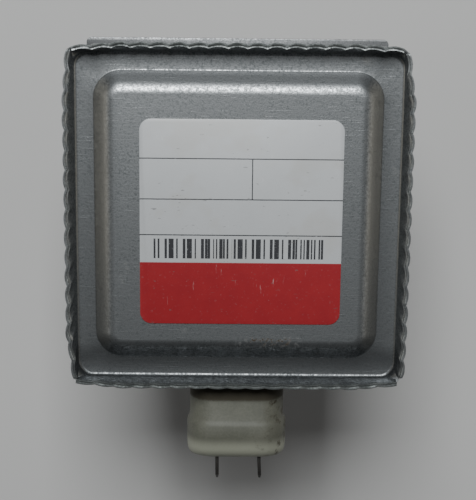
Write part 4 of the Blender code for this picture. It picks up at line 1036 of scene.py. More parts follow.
def clear_selection() -> None:
    """Leaves edit mode and deselects everything."""
    if bpy.context.object and bpy.context.object.mode == "EDIT":
        bpy.ops.object.mode_set(mode="OBJECT")
    bpy.ops.object.select_all(action="DESELECT")


def smooth_step(value: float, low: float, high: float) -> float:
    """A number's smooth way from 0 at low to 1 at high."""
    share = min(max((value - low) / (high - low), 0.0), 1.0)
    return share * share * (3 - 2 * share)


def heights_up(first: float, last: float, steps: int) -> list[float]:
    """Even heights after the first up to the last."""
    return [first + (last - first) * (i + 1) / steps for i in range(steps)]


def pipe_profile(inner: float, outer: float, low: float, high: float) -> Profile:
    """The section of a straight pipe about Z."""
    return [(inner, low), (outer, low), (outer, high), (inner, high), (inner, low)]


# ---------------------------------------------------------------- sub-assemblies


@dataclass(frozen=True)
class Rivet:
    """A closed rivet along Z, with a dome at each end that is drawn in shares of its size."""

    hole: float = 0.0016
    play: float = 0.0002
    pole: float = 0.0003
    dome_height: float = 0.0009
    dome: Profile = ((0.40, 0.06), (0.66, 0.22), (0.84, 0.46), (0.96, 0.76), (1.0, 1.0))

    def close(self, name: str, low: Vector, high: Vector) -> Work:
        """Closes the rivet in its hole.

        Args:
            name: The piece's name.
            low: The lowest corner of the space that it fills.
            high: The highest corner.

        Returns:
            The rivet.
        """
        head, shank, tall = (high.x - low.x) / 2, self.hole - self.play, self.dome_height
        lower = [(self.pole, low.z), *((head * out, low.z + tall * up) for out, up in self.dome)]
        upper = [(radius, high.z - (height - low.z)) for radius, height in reversed(lower)]
        middle = [(shank, low.z + tall), (shank, high.z - tall)]
        centre = ((low.x + high.x) / 2, (low.y + high.y) / 2)
        return Work.turned(name, [*lower, *middle, *upper], 32, centre)


@dataclass(frozen=True)
class YokeRivets:
    """The pattern of the four rivets that hold the filter box on the yoke."""

    rivet: Rivet = Rivet()
    pitch: float = 0.0520

    def cutters(self, low: float, high: float, steps: int) -> list[Work]:
        """The tools for the holes, between two heights."""
        places = [(side_x * self.pitch / 2, side_y * self.pitch / 2) for side_x, side_y in CORNERS]
        return [Work.bore("rivet_hole", self.rivet.hole, (low, high), steps, place) for place in places]


@dataclass(frozen=True)
class CapacitorSeat:
    """The oval window and the two rivet holes that the box's -Y wall and the ground plate share."""

    window: Pair = (0.0214, 0.0112)
    height: float = 0.0737
    rivet: Rivet = Rivet()
    rivet_pitch: float = 0.0345
    span: Pair = (0.0405, 0.0460)

    def cutters(self) -> list[Work]:
        """The tools that pierce a sheet.

        Returns:
            The window's tool and those of the two holes.
        """
        oval = Work.sheet("wall_window", self.window, (0.0, 0.0, self.span[0]))
        oval.round_corners(self.window[1] * OVAL, 10)
        oval.draw_up(self.span)
        oval.face_outwards()
        tools = [oval]
        for side in SIDES:
            place = (side * self.rivet_pitch / 2, 0.0)
            tools.append(Work.bore("ground_rivet_hole", self.rivet.hole, self.span, 20, place))
        for tool in tools:
            tool.turn(Axis.X, (0.0, 0.0, self.height))
        return tools


@dataclass
class SubAssembly:
    """Some pieces that are built together, and the CAD nodes that they stand for."""

    palette: Palette

    def build(self) -> None:
        """Makes the pieces."""
        raise NotImplementedError

    def dress(
        self,
        work: Work,
        slot: Slot,
        nodes: Sequence[str],
        material: bpy.types.Material | None = None,
        smooth: float = 35.0,
    ) -> None:
        """Finishes a piece, gives it its material and lets it stand for its nodes.

        Args:
            work: The piece.
            slot: The material slot that it belongs to.
            nodes: The CAD nodes that it replaces.
            material: Its material, where that isn't its slot's own.
            smooth: The angle in degrees up to which its shading is smooth.
        """
        work.shade(smooth)
        thing = work.thing
        thing.data.materials.clear()
        thing.data.materials.append(material or self.palette.by_slot[slot])
        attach(thing, "root")
        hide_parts(*nodes)
        thing.data.calc_loop_triangles()
        LOG.info("%s: %d triangles for %s", thing.name, len(thing.data.loop_triangles), ", ".join(nodes))


@dataclass
class PlateAndYoke(SubAssembly):
    """The mounting plate and the folded yoke that stands in it on four tabs."""

    plate_corner: Pair = (0.0015, 5)
    mount_radius: float = 0.0024
    mount_pitch: Pair = (0.0815, 0.0610)
    centre_radius: float = 0.0102
    hole_span: Pair = (-0.002, 0.004)
    tab_slot: Triple = (0.0019, 0.0084, 0.006)
    tab_slot_height: float = 0.001
    tab_pitch: float = 0.0360
    tab_width: float = 0.0080
    tab_play: float = 0.0002
    gap: Pair = (0.006, 0.010)
    mark_place: Pair = (0.0019, 0.0022)
    mark: Profile = ((0.0009, -0.0002), (0.0007, 0.0001), (0.0002, 0.0004))
    sheet: float = 0.0015
    fold: float = 0.0020
    rivets: YokeRivets = YokeRivets()

    def build(self) -> None:
        """Makes both."""
        self.build_plate()
        self.build_yoke()

    def build_plate(self) -> None:
        """Blanks the plate with its holes, its tab slots and the punch marks that lock the tabs."""
        low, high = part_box("mounting_plate")
        size = (high.x - low.x, high.y - low.y)
        plate = Work.blank("mounting_plate_sheet", size, high.z, self.plate_corner, high.z - low.z)
        cutters = [Work.bore("centre_hole", self.centre_radius, self.hole_span)]
        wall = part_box("yoke")[1].x - self.sheet / 2
        for side_x, side_y in CORNERS:
            place = (side_x * self.mount_pitch[0] / 2, side_y * self.mount_pitch[1] / 2)
            cutters.append(Work.bore("mount_hole", self.mount_radius, self.hole_span, 32, place))
            slot_place = (side_x * wall, side_y * self.tab_pitch / 2, self.tab_slot_height)
            cutters.append(Work.block("tab_slot", self.tab_slot, slot_place))
            for end in SIDES:
                place = (side_x * (wall + self.mark_place[0]), slot_place[1] + end * self.mark_place[1])
                cutters.append(Work.turned("punch_mark", self.mark, 16, place))
        plate.combine(cutters)
        plate.soften(0.00012, 2, 50)
        self.dress(plate, Slot.ZINC_STEEL, ["mounting_plate"], self.palette.plate)

    def build_yoke(self) -> None:
        """Folds the yoke from one sheet: a web, two bends and two walls, cut to tabs at the foot."""
        low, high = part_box("yoke")
        edge = high.x - self.fold
        yoke = Work.sheet("folded_yoke", (2 * edge, high.y - low.y), (0.0, 0.0, high.z))
        yoke.fold_sides(edge, high.z, self.fold, low.z - high.z, 6)
        yoke.thicken(self.sheet)
        thick, tall = self.gap
        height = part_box("mounting_plate")[1].z + self.tab_play - tall / 2
        tab_start, tab_end = ((self.tab_pitch + side * self.tab_width) / 2 for side in SIDES)
        reach = high.y + PAST / 2
        cutters = []
        for side in SIDES:
            wall = side * (high.x - self.sheet / 2)
            cutters.append(Work.block("middle_gap", (thick, 2 * tab_start, tall), (wall, 0.0, height)))
            for end in SIDES:
                centre = (wall, end * (tab_end + reach) / 2, height)
                cutters.append(Work.block("end_gap", (thick, reach - tab_end, tall), centre))
        span = (high.z - 2 * PAST, high.z + PAST)
        cutters.append(Work.bore("web_hole", self.centre_radius, span))
        yoke.combine(cutters + self.rivets.cutters(*span, 24))
        yoke.soften(0.00015, 2, 50)
        self.dress(yoke, Slot.ZINC_STEEL, ["yoke"])


@dataclass
class Tube(SubAssembly):
    """The parts of the tube that show between plate, magnets and box, and the antenna below."""

    magnet_bore: float = 0.0106
    magnet_chamfer: float = 0.0008
    anode_wall: float = 0.0020
    seal_wall: float = 0.0005
    seal_neck: float = 0.0094
    seal_lip: float = 0.0070
    ceramic_bore: float = 0.0064
    cap_wall: float = 0.0004
    cap_corner: float = 0.0030
    cap_facets: int = 8
    cap_pole: float = 0.0004

    def build(self) -> None:
        """Makes the magnets, the anode shell, the seals, the output ceramic and the cap."""
        self.build_magnets()
        self.build_anode()
        for node, name in (("output_seal", "seal_cup_output"), ("input_seal", "seal_cup_input")):
            self.build_seal(node, name)
        self.build_ceramic()
        self.build_cap()

    def build_magnets(self) -> None:
        """Presses one ring magnet and copies it."""
        low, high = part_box("output_magnet")
        outer, chamfer = high.x, self.magnet_chamfer
        lower = [(self.magnet_bore, low.z), (outer - chamfer, low.z), (outer, low.z + chamfer)]
        upper = [(radius, high.z - (height - low.z)) for radius, height in reversed(lower)]
        profile = [*lower, *upper, lower[0]]
        magnet = Work.turned("ferrite_ring_output", profile, 96)
        magnet.soften(0.0003, 2, 30)
        other = magnet.copy("ferrite_ring_input", (0.0, 0.0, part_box("input_magnet")[0].z - low.z))
        self.dress(magnet, Slot.FERRITE, ["output_magnet"], smooth=40)
        self.dress(other, Slot.FERRITE, ["input_magnet"], smooth=40)

    def build_anode(self) -> None:
        """Turns the anode's copper shell."""
        low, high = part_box("anode_cylinder")
        profile = pipe_profile(high.x - self.anode_wall, high.x, low.z, high.z)
        shell = Work.turned("anode_shell", profile, 96)
        shell.soften(0.0002)
        self.dress(shell, Slot.COPPER, ["anode_cylinder"])

    def build_seal(self, node: str, name: str) -> None:
        """Turns one of the two drawn seal cups.

        Args:
            node: Its CAD node.
            name: Its name.
        """
        low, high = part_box(node)
        neck, lip, wall = self.seal_neck, self.seal_lip, self.seal_wall
        upward = node == "output_seal"
        face, end, towards = (high.z - wall, low.z, 1) if upward else (low.z + wall, high.z, -1)
        back, floor, inner = face + towards * wall, end + towards * wall, neck - wall
        flange = [(neck, face), (high.x, face), (high.x, back), (inner, back)]
        profile = [*flange, (inner, floor), (lip, floor), (lip, end), (neck, end), (neck, face)]
        cup = Work.turned(name, profile, 72)
        cup.soften(0.00015)
        self.dress(cup, Slot.BRIGHT_STEEL, [node])

    def build_ceramic(self) -> None:
        """Turns the output ceramic."""
        low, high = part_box("antenna_ceramic")
        ceramic = Work.turned("output_ceramic", pipe_profile(self.ceramic_bore, high.x, low.z, high.z), 72)
        ceramic.soften(0.0003, 3)
        self.dress(ceramic, Slot.ALUMINA, ["antenna_ceramic"])

    def build_cap(self) -> None:
        """Draws the cap over the pinched tube."""
        low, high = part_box("antenna_cap")
        centre = (high.x - self.cap_corner, low.z + self.cap_corner)
        arc = [QUARTER * i / self.cap_facets for i in range(self.cap_facets + 1)]
        outside, inside = (
            [(centre[0] + radius * math.sin(angle), centre[1] - radius * math.cos(angle)) for angle in arc]
            for radius in (self.cap_corner, self.cap_corner - self.cap_wall)
        )
        rim = [(high.x, high.z), (high.x - self.cap_wall, high.z)]
        ends = [(self.cap_pole, low.z), (self.cap_pole, low.z + self.cap_wall)]
        cap = Work.turned("cap_shell", [ends[0], *outside, *rim, *reversed(inside), ends[1]], 72)
        cap.soften(0.00008, 2, 60)
        self.dress(cap, Slot.BRIGHT_STEEL, ["antenna_cap"])


@dataclass
class Gasket(SubAssembly):
    """The knitted wire ring round the output."""

    inner: float = 0.0098
    around: int = 132
    fewer_inside: int = 12
    section_steps: int = 20
    squareness: float = 0.55
    wire: float = 0.00016
    layer_gap: float = 0.0006

    def squared(self, share: float) -> float:
        """A sine or cosine, pushed out so that the tube's section is nearly a square."""
        return math.copysign(abs(share) ** self.squareness, share)

    def build(self) -> None:
        """Rolls two layers of mesh tube, each turned into diamonds and drawn as wires."""
        low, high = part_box("rf_gasket")
        centre = ((self.inner + high.x) / 2, (low.z + high.z) / 2)
        layers = []
        for layer, shrink in enumerate((self.wire / 2, self.layer_gap)):
            width, height = (high.x - self.inner) / 2 - shrink, (high.z - low.z) / 2 - shrink
            turns = [4 * QUARTER * i / self.section_steps for i in range(self.section_steps)]
            section = [(self.squared(math.cos(turn)), self.squared(math.sin(turn))) for turn in turns]
            profile = [(centre[0] + width * out, centre[1] + height * up) for out, up in section]
            around = self.around - self.fewer_inside * layer
            mesh = Work.turned(f"knitted_layer_{layer}", [*profile, profile[0]], around)
            mesh.pick_all()
            bpy.ops.mesh.unsubdivide(iterations=1)
            mesh.modify("WIREFRAME", thickness=self.wire, use_even_offset=False, use_replace=True)
            layers.append(mesh)
        outer_layer, inner_layer = layers
        outer_layer.close()
        inner_layer.thing.select_set(True)
        bpy.ops.object.join()
        outer_layer.thing.name = "knitted_gasket"
        self.dress(outer_layer, Slot.WIRE_MESH, ["rf_gasket"], smooth=60)


@dataclass
class CoolingFins(SubAssembly):
    """The six stamped fins, modelled once."""

    count: int = 6
    sheet: float = 0.0006
    fold: float = 0.0010
    corner: float = 0.0050
    flap_reach: float = 0.0220
    bore: float = 0.0197
    collar_wall: float = 0.0006
    collar_lap: float = 0.0002
    collar_height: float = 0.0038
    collar_root: float = 0.0008
    collar_fillet: Profile = ((1.0, 0.0), (0.3, 0.3), (0.0, 1.0))
    slot: Triple = (0.0012, 0.0160, 0.006)

    def build(self) -> None:
        """Stamps the first fin and copies it up the anode."""
        low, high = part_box("cooling_fin_1")
        edge = high.x - self.fold
        fin = Work.sheet("stamped_fin_1", (2 * edge, high.y - low.y), (0.0, 0.0, low.z))
        fin.round_corners(self.corner, 1)
        for side in SIDES:
            fin.pick_all()
            bpy.ops.mesh.bisect(plane_co=(0, side * self.flap_reach, 0), plane_no=(0, 1, 0))
        fin.fold_sides(edge, low.z, self.fold, high.z - low.z, 4, self.flap_reach)
        fin.thicken(self.sheet)
        fin.combine([Work.turned("collar", self.collar_profile(low.z), 72)], Joining.UNITE)
        cutters = [Work.bore("fin_bore", self.bore, (low.z - PAST, high.z + PAST), 72)]
        slot_x = (self.bore + high.x) / 2
        cutters += [Work.block("fin_slot", self.slot, (side * slot_x, 0.0, low.z)) for side in SIDES]
        fin.combine(cutters)
        for number in range(2, self.count + 1):
            node = f"cooling_fin_{number}"
            copy = fin.copy(f"stamped_fin_{number}", (0.0, 0.0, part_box(node)[0].z - low.z))
            self.dress(copy, Slot.ALUMINIUM, [node])
        self.dress(fin, Slot.ALUMINIUM, ["cooling_fin_1"])

    def collar_profile(self, low: float) -> Profile:
        """The section of the collar that is drawn up round the anode.

        Args:
            low: The height of its foot.

        Returns:
            The closed section.
        """
        inside, outside, root = self.bore - self.collar_lap, self.bore + self.collar_wall, self.collar_root
        face, top = low + self.sheet, low + self.collar_height
        fillet = [(outside + root * share, face + root * up) for share, up in self.collar_fillet]
        return [(inside, low), (outside + root, low), *fillet, (outside, top), (inside, top), (inside, low)]


@dataclass(frozen=True)
class Crimp:
    """The pleated, crimped wall that the filter box and its cover share.

    A straight wall that stands on the foot line is mapped to the flared and scalloped one. Where a
    field has four entries they are for the sides -X, +X, -Y and +Y, and a pair in one is for that
    side's start and end.
    """

    foot: Pair = (0.0852, 0.0864)
    corner: float = 0.0040
    corner_steps: int = 8
    scallops: int = 17
    facets: int = 8
    depth: float = 0.00057
    unevenness: float = 0.14
    start: float = 0.0827
    top: float = 0.0877
    flare: float = 0.00095
    curl: float = 2.0
    ends: Profile = ((-0.0007, -0.0004), (0.0003, -0.0002), (-0.0004, -0.0003), (-0.0002, 0.0010))
    leans: Profile = ((0.0014, 0.0009), (0.0003, 0.0015), (0.0010, 0.0010), (0.0009, 0.0006))
    lean_reach: float = 2.2
    notch: float = 0.0018
    deep: tuple[float, ...] = (1.0, 1.0, 0.65, 1.0)
    pushed: tuple[float, ...] = (0.0003, 0.0, 0.0008, 0.0)
    pushed_from: float = 0.0812
    pushed_to: float = 0.0826

    def outline(self, name: str, height: float) -> Work:
        """The foot line as a loop of points, fine enough to be pleated.

        Args:
            name: The piece's name.
            height: Where the loop lies.

        Returns:
            The loop, all selected.
        """
        work = Work.sheet(name, self.foot, (0.0, 0.0, height))
        work.round_corners(self.corner, self.corner_steps)
        bpy.ops.mesh.delete(type="ONLY_FACE")
        work.pick(Kind.EDGES, lambda edge: edge.calc_length() > self.corner)
        bpy.ops.mesh.subdivide(number_cuts=self.scallops - 1)
        bpy.ops.mesh.subdivide(number_cuts=self.facets - 1)
        work.pick_all()
        return work

    def bulge(self, along: float, side: int) -> float:
        """How far the rim stands out at a number of scallops along a side.

        Args:
            along: Scallops from the side's start.
            side: The side's number, which varies the hand of the crimping.

        Returns:
            The distance, which is 0 at each pleat.
        """
        number = math.floor(along)
        within = along - number
        uneven = 1.0 - self.unevenness * (0.5 + 0.5 * math.sin(2.3 * number + 4.1 * side))
        return self.depth * self.deep[side] * uneven * 4 * within * (1 - within)

    def leaning(self, along: float, side: int) -> float:
        """How far a side's rim leans in at a number of scallops from its start.

        Args:
            along: Scallops from the side's start.
            side: The side's number.

        Returns:
            The distance, which is 0 away from the corners.
        """
        total = 0.0
        for lean, from_end in zip(self.leans[side], (along, self.scallops - along)):
            total += lean * max(0.0, 1 - (max(from_end, 0.0) / self.lean_reach) ** 1.5)
        return total

    def corner_end(self, across: int, sign: Sequence[float], offset: float) -> Vector:
        """The rim's last point of the side that faces along one axis, at one corner.

        Args:
            across: The axis, 0 or 1, that the side faces along.
            sign: The corner's signs.
            offset: How far the plain sheet is outside the foot line.

        Returns:
            The point, at height 0.
        """
        along = 1 - across
        side = across * 2 + (sign[across] > 0)
        last = sign[along] > 0
        place = Vector((0.0, 0.0, 0.0))
        stands = offset + self.flare - self.leans[side][last] + self.pushed[side]
        place[across] = sign[across] * (self.foot[across] / 2 + stands)
        place[along] = sign[along] * (self.foot[along] / 2 - self.ends[side][last])
        return place

    def mapped(self, point: Vector, offset: float) -> Vector:
        """Where a point of the straight wall goes.

        Args:
            point: The point, over the foot line.
            offset: How far the plain sheet is outside the foot line at the point's height.

        Returns:
            The place on the formed sheet.
        """
        half = (self.foot[0] / 2, self.foot[1] / 2)
        straight = (half[0] - self.corner, half[1] - self.corner)
        share = min(max((point.z - self.start) / (self.top - self.start), 0.0), 1.0) ** self.curl
        over = [abs(point[i]) - straight[i] for i in (0, 1)]
        sign = [math.copysign(1.0, point[i]) for i in (0, 1)]
        sides = [axis * 2 + (sign[axis] > 0) for axis in (0, 1)]
        push = [self.pushed[side] * smooth_step(point.z, self.pushed_from, self.pushed_to) for side in sides]
        if min(over) > NEAR:
            away = Vector((over[0] * sign[0], over[1] * sign[1], 0.0)).normalized()
            plain = Vector((point.x, point.y, 0.0)) + away * offset
            plain += Vector([sign[i] * push[i] * over[i] / self.corner for i in (0, 1)] + [0.0])
            turn = math.atan2(over[1], over[0]) / QUARTER
            first, second = (self.corner_end(across, sign, offset) for across in (0, 1))
            drop = self.notch * min(1.0, 1.6 * math.sin(math.pi * turn) ** 0.8)
            place = plain.lerp(first.lerp(second, turn), share)
            return Vector((place.x, place.y, point.z - drop * share))
        across = 0 if over[0] > NEAR else 1
        along = 1 - across
        side = sides[across]
        scallop = (point[along] + straight[along]) / (2 * straight[along]) * self.scallops
        stands = (self.bulge(scallop, side) + self.flare - self.leaning(scallop, side)) * share
        first, last = (half[along] - inset for inset in self.ends[side])
        spread = -first + (first + last) * scallop / self.scallops
        made = Vector((0.0, 0.0, point.z))
        made[along] = point[along] + (spread - point[along]) * share
        made[across] = sign[across] * (half[across] + offset + push[across] + stands)
        return made


@dataclass
class FilterBox(SubAssembly):
    """The pressed filter box, its four rivets and its crimped rim."""

    crimp: Crimp = Crimp()
    wall: float = 0.0005
    bend: float = 0.0012
    shelf_offset: float = 0.00105
    shelf_start: float = 0.0810
    shelf_end: float = 0.0824
    neck_hole: float = 0.0102
    neck_lap: float = 0.0004
    neck_collar: float = 0.0020
    neck_root: Profile = ((0.0008, -0.00025), (0.0004, 0.0003), (0.0, 0.0008))
    seat: CapacitorSeat = CapacitorSeat()
    rivets: YokeRivets = YokeRivets()

    def build(self) -> None:
        """Makes the shell and rivets it to the yoke."""
        self.build_shell()
        self.build_rivets()

    def offset_at(self, height: float, base: float) -> float:
        """How far the plain outer wall stands outside the foot line at a height.

        Args:
            height: The height.
            base: The height of the box's underside.

        Returns:
            The distance.
        """
        if height < base + self.bend:
            rise = 1 - (height - base) / self.bend
            return -self.bend * (1 - math.sqrt(max(0.0, 1 - rise * rise)))
        return self.shelf_offset * smooth_step(height, self.shelf_start, self.shelf_end)

    def build_shell(self) -> None:
        """Draws the wall up from the base, forms it, closes the base and cuts the openings."""
        low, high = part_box("filter_box")
        crimp = self.crimp
        shell = crimp.outline("filter_box_shell", low.z)
        levels = [low.z, *heights_up(low.z, low.z + self.bend, 5)]
        levels += [self.shelf_start, *heights_up(self.shelf_start, self.shelf_end, 5)]
        levels += [crimp.start, *heights_up(crimp.start, high.z, RIM_STEPS)]
        shell.draw_up(levels)
        shell.pick_edges_at(Axis.Z, low.z)
        bpy.ops.mesh.edge_face_add()
        shell.reshape(lambda point: crimp.mapped(point, self.offset_at(point.z, low.z)))
        shell.face_towards((0, 0, -1))
        shell.thicken(self.wall)
        shell.trim_above(high.z)
        shell.soften(*EDGE_WEAR)
        collar = Work.turned("neck_collar", self.collar_profile(low.z), 48)
        shell.combine([collar], Joining.UNITE, Solver.FAST)
        floor = low.z + self.wall
        span = (low.z - PAST, floor + self.neck_collar + PAST)
        cutters = [Work.bore("neck_hole", self.neck_hole, span, 48)]
        cutters += self.rivets.cutters(low.z - PAST, floor + PAST / 2, 20) + self.seat.cutters()
        shell.combine(cutters, solver=Solver.FAST)
        self.dress(shell, Slot.ZINC_STEEL, ["filter_box"], self.palette.box, 42)

    def collar_profile(self, low: float) -> Profile:
        """The section of the collar round the stem's hole, from the height of the underside.

        Args:
            low: That height.

        Returns:
            The closed section.
        """
        inner, outer, floor = self.neck_hole - self.neck_lap, self.neck_hole + self.wall, low + self.wall
        root = [(outer + out, floor + up) for out, up in self.neck_root]
        start, top = (inner, root[0][1]), floor + self.neck_collar
        return [start, *root, (outer, top), (inner, top), start]

    def build_rivets(self) -> None:
        """Closes one rivet and copies it to the other three corners."""
        low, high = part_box("box_rivet_1")
        first = self.rivets.rivet.close("yoke_rivet_1", low, high)
        for number in (2, 3, 4):
            node = f"box_rivet_{number}"
            copy = first.copy(f"yoke_rivet_{number}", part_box(node)[0] - low)
            self.dress(copy, Slot.BRIGHT_STEEL, [node])
        self.dress(first, Slot.BRIGHT_STEEL, ["box_rivet_1"])


@dataclass
class Cover(SubAssembly):
    """The pressed cover in the crimped rim, and the label on its raised panel."""

    crimp: Crimp = Crimp()
    wall: float = 0.0005
    rim_top: float = 0.0876
    flange_top: float = 0.0832
    fillet: float = 0.0008
    panel: Pair = (0.0754, 0.0772)
    panel_centre: Pair = (-0.0002, -0.0002)
    panel_corner: Pair = (0.0074, 12)
    slope_foot: Profile = ((0.00012, 0.00002), (0.00012, 0.00007))
    slope_steep: float = 0.0025
    slope_gradient: float = 0.8358
    slope_crown: float = 0.00316
    crown_steps: int = 10
    tuck: Pair = (0.00025, 0.0004)
    tuck_height: float = 0.0030
    tuck_span: Pair = (0.036, 0.042)
    fold_reach: Pair = (0.0012, 0.0415)
    label_corner: Pair = (0.0030, 8)

    def build(self) -> None:
        """Makes the cover and the label."""
        self.build_cover()
        self.build_label()

    def offset_at(self, height: float) -> float:
        """How far the sheet's upper face is outside the foot line at a height, with its fillet.

        Args:
            height: The height.

        Returns:
            The distance, less than 0 in the fillet.
        """
        rise = height - self.flange_top
        if rise < self.fillet:
            return math.sqrt(max(0.0, 2 * self.fillet * rise - rise * rise)) - self.fillet
        return 0.0

    def tucked(self, place: Vector) -> Vector:
        """Draws the wall's foot in from the box's wall along the -X and +Y sides.

        Args:
            place: A point of the formed wall.

        Returns:
            Where the point goes.
        """
        share = 1 - smooth_step(place.z, self.flange_top, self.flange_top + self.tuck_height)
        right = self.tuck[0] * share * smooth_step(-place.x, *self.tuck_span)
        down = self.tuck[1] * share * smooth_step(place.y, *self.tuck_span)
        return Vector((place.x + right, place.y - down, place.z))

    def slope(self) -> Profile:
        """The panel's side as steps inwards and up.

        Returns:
            A fillet, a straight slope in two steps and a wide crown.
        """
        half, step, gradient = self.slope_steep / 2, self.slope_crown / self.crown_steps, self.slope_gradient
        shares = [1 - (i + 0.5) / self.crown_steps for i in range(self.crown_steps)]
        crown = [(step, step * gradient * share) for share in shares]
        return [*self.slope_foot, (half, half * gradient), (half, half * gradient), *crown]

    def build_cover(self) -> None:
        """Draws the crimped wall up, presses the panel and joins the two with the flange."""
        flange = self.flange_top
        cover = self.crimp.outline("cover_sheet", flange)
        levels = [flange + self.fillet * (1 - math.cos(math.radians(a))) for a in (0, 22, 45, 67, 90)]
        cover.draw_up(levels + heights_up(levels[-1], self.rim_top, RIM_STEPS))
        cover.reshape(lambda point: self.tucked(self.crimp.mapped(point, self.offset_at(point.z))))
        cover.pick(Kind.POINTS, lambda vert: False)
        centre = (*self.panel_centre, flange)
        bpy.ops.mesh.primitive_plane_add(size=1.0, location=centre)
        cover.resize((*self.panel, 1.0), centre)
        cover.round_corners(*self.panel_corner)
        for inwards, up in self.slope():
            bpy.ops.mesh.inset(thickness=inwards, depth=up, use_even_offset=True)
        cover.pick(
            Kind.EDGES,
            lambda edge: edge.is_boundary and all(vert.co.z < flange + 10 * NEAR for vert in edge.verts),
        )
        bpy.ops.mesh.fill(use_beauty=True)
        cover.face_towards((0, 0, 1))
        cover.thicken(self.wall)
        cover.pull_in(*self.fold_reach, flange + 0.001)
        cover.trim_above(self.rim_top)
        cover.soften(*EDGE_WEAR)
        self.dress(cover, Slot.ZINC_STEEL, ["filter_cover"], self.palette.cover, 42)

    def build_label(self) -> None:
        """Cuts the label, with its corners rounded and its edge eased."""
        low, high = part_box("label")
        size, centre = (high.x - low.x, high.y - low.y), ((low.x + high.x) / 2, (low.y + high.y) / 2)
        label = Work.blank("printed_sticker", size, high.z, self.label_corner, high.z - low.z, centre)
        label.soften(0.00004, 2, 50)
        self.dress(label, Slot.LABEL, ["label"])


@dataclass
class Capacitor(SubAssembly):
    """The feed-through capacitor, its ground plate and rivets, and its two blades."""

    seat: CapacitorSeat = CapacitorSeat()
    sleeve: Pair = (0.0210, 0.0108)
    body: Pair = (0.0259, 0.0144)
    collar: Pair = (0.0274, 0.0162)
    face_y: float = -0.0446
    centre_x: float = 0.0002
    collar_y: float = -0.0585
    nose_y: float = -0.0633
    nose: Triple = (0.0065, 0.0058, 0.0031)
    nose_steps: int = 10
    step: float = 0.0008
    plate_corner: Pair = (0.0045, 8)
    blade: Pair = (0.00095, 0.00635)
    blade_tip: float = 0.0014
    tip_share: float = 0.55
    blade_sink: float = 0.0006
    blade_hole: float = 0.0009
    blade_hole_rise: float = 0.0041
    rod: float = 0.0013
    rod_lap: float = 0.0004

    def build(self) -> None:
        """Makes the case, the plate, the rivets and the blades."""
        self.build_case()
        self.build_ground_plate()
        for side, name in zip(SIDES, ("left", "right")):
            self.build_rivet(side, name)
        self.build_blade("left", -0.00515, 0.00010)
        self.build_blade("right", 0.00655, 0.00030)

    def stand(self, work: Work, offset: float = 0.0) -> None:
        """Turns a piece that was made upright so that it leaves the box towards -Y."""
        work.turn(Axis.X, (offset, 0.0, self.seat.height))

    def build_case(self) -> None:
        """Draws the case's oval out from its sleeve to its collar and its long rounded nose."""
        place, size = -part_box("capacitor_case")[1].y, self.sleeve
        case = Work.sheet("moulded_case", size, (0.0, 0.0, place))
        case.round_corners(size[1] * OVAL, 14)
        collar = self.collar
        small = (collar[0] - self.step, collar[1] - self.step)
        face, front = -self.face_y, -self.collar_y
        steps = [(face, self.sleeve), (face, self.body), (front - self.step, self.body), (front, small)]
        steps += [(front + self.step, collar), (-self.nose_y, collar)]
        length, drop, narrow = self.nose
        for i in range(self.nose_steps):
            angle = QUARTER * (i + 1) / self.nose_steps
            shrink = 1 - math.cos(angle)
            section = (collar[0] - 2 * narrow * shrink ** 2, collar[1] - 2 * drop * shrink)
            steps.append((-self.nose_y + length * math.sin(angle), section))
        for next_place, next_size in steps:
            case.extrude((0.0, 0.0, next_place - place))
            case.resize((next_size[0] / size[0], next_size[1] / size[1], 1.0), (0.0, 0.0, next_place))
            place, size = next_place, next_size
        case.face_outwards()
        self.stand(case, self.centre_x)
        case.soften(0.0004, 3, 40)
        self.dress(case, Slot.CREAM_PLASTIC, ["capacitor_case"], smooth=50)

    def build_ground_plate(self) -> None:
        """Blanks the steel plate."""
        low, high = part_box("ground_plate")
        size = (high.x - low.x, high.z - low.z)
        plate = Work.blank("ground_plate_sheet", size, -low.y, self.plate_corner, high.y - low.y)
        self.stand(plate)
        plate.combine(self.seat.cutters())
        plate.soften(0.0001, 2, 50)
        self.dress(plate, Slot.ZINC_STEEL, ["ground_plate"])

    def build_rivet(self, side: int, name: str) -> None:
        """Closes one of the plate's two rivets.

        Args:
            side: -1 or 1 for the side of X that it is on.
            name: That side's name.
        """
        node = f"ground_rivet_{name}"
        low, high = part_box(node)
        centre, height = side * self.seat.rivet_pitch / 2, self.seat.height
        upright_low = Vector((centre + low.z - height, low.z - height, -high.y))
        upright_high = Vector((centre + high.z - height, high.z - height, -low.y))
        made = self.seat.rivet.close(f"case_rivet_{name}", upright_low, upright_high)
        self.stand(made)
        self.dress(made, Slot.BRIGHT_STEEL, [node])

    def build_blade(self, name: str, centre: float, lean: float) -> None:
        """Blanks a blade with its chamfered tip and hole, leans it a little and adds its rod.

        Args:
            name: The name of its side.
            centre: Where its root is along X.
            lean: How far its tip leans along X.
        """
        low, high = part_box(f"terminal_{name}")
        root, tip = -self.nose_y + self.nose[0] - self.blade_sink, -low.y
        shoulder, run = tip - self.blade_tip, tip - root
        blade = Work.sheet(f"blade_{name}", self.blade, (centre, 0.0, root))
        blade.extrude((lean * (shoulder - root) / run, 0.0, shoulder - root))
        blade.extrude((lean * self.blade_tip / run, 0.0, self.blade_tip))
        narrow = (self.blade[1] - 2 * self.blade_tip) / self.blade[1]
        blade.resize((self.tip_share, narrow, 1.0), (centre + lean, 0.0, tip))
        blade.face_outwards()
        hole = Work.bore("blade_hole", self.blade_hole, (-2 * PAST, 2 * PAST), 24)
        hole.turn(Axis.Y, (centre, 0.0, root + self.blade_hole_rise))
        blade.combine([hole])
        rod = Work.bore("rod", self.rod, (-high.y, root + self.rod_lap), 24, (centre, 0.0))
        blade.combine([rod], Joining.UNITE)
        blade.soften(0.00008, 2, 50)
        self.stand(blade)
        self.dress(blade, Slot.BRIGHT_STEEL, [f"terminal_{name}"], self.palette.blade)


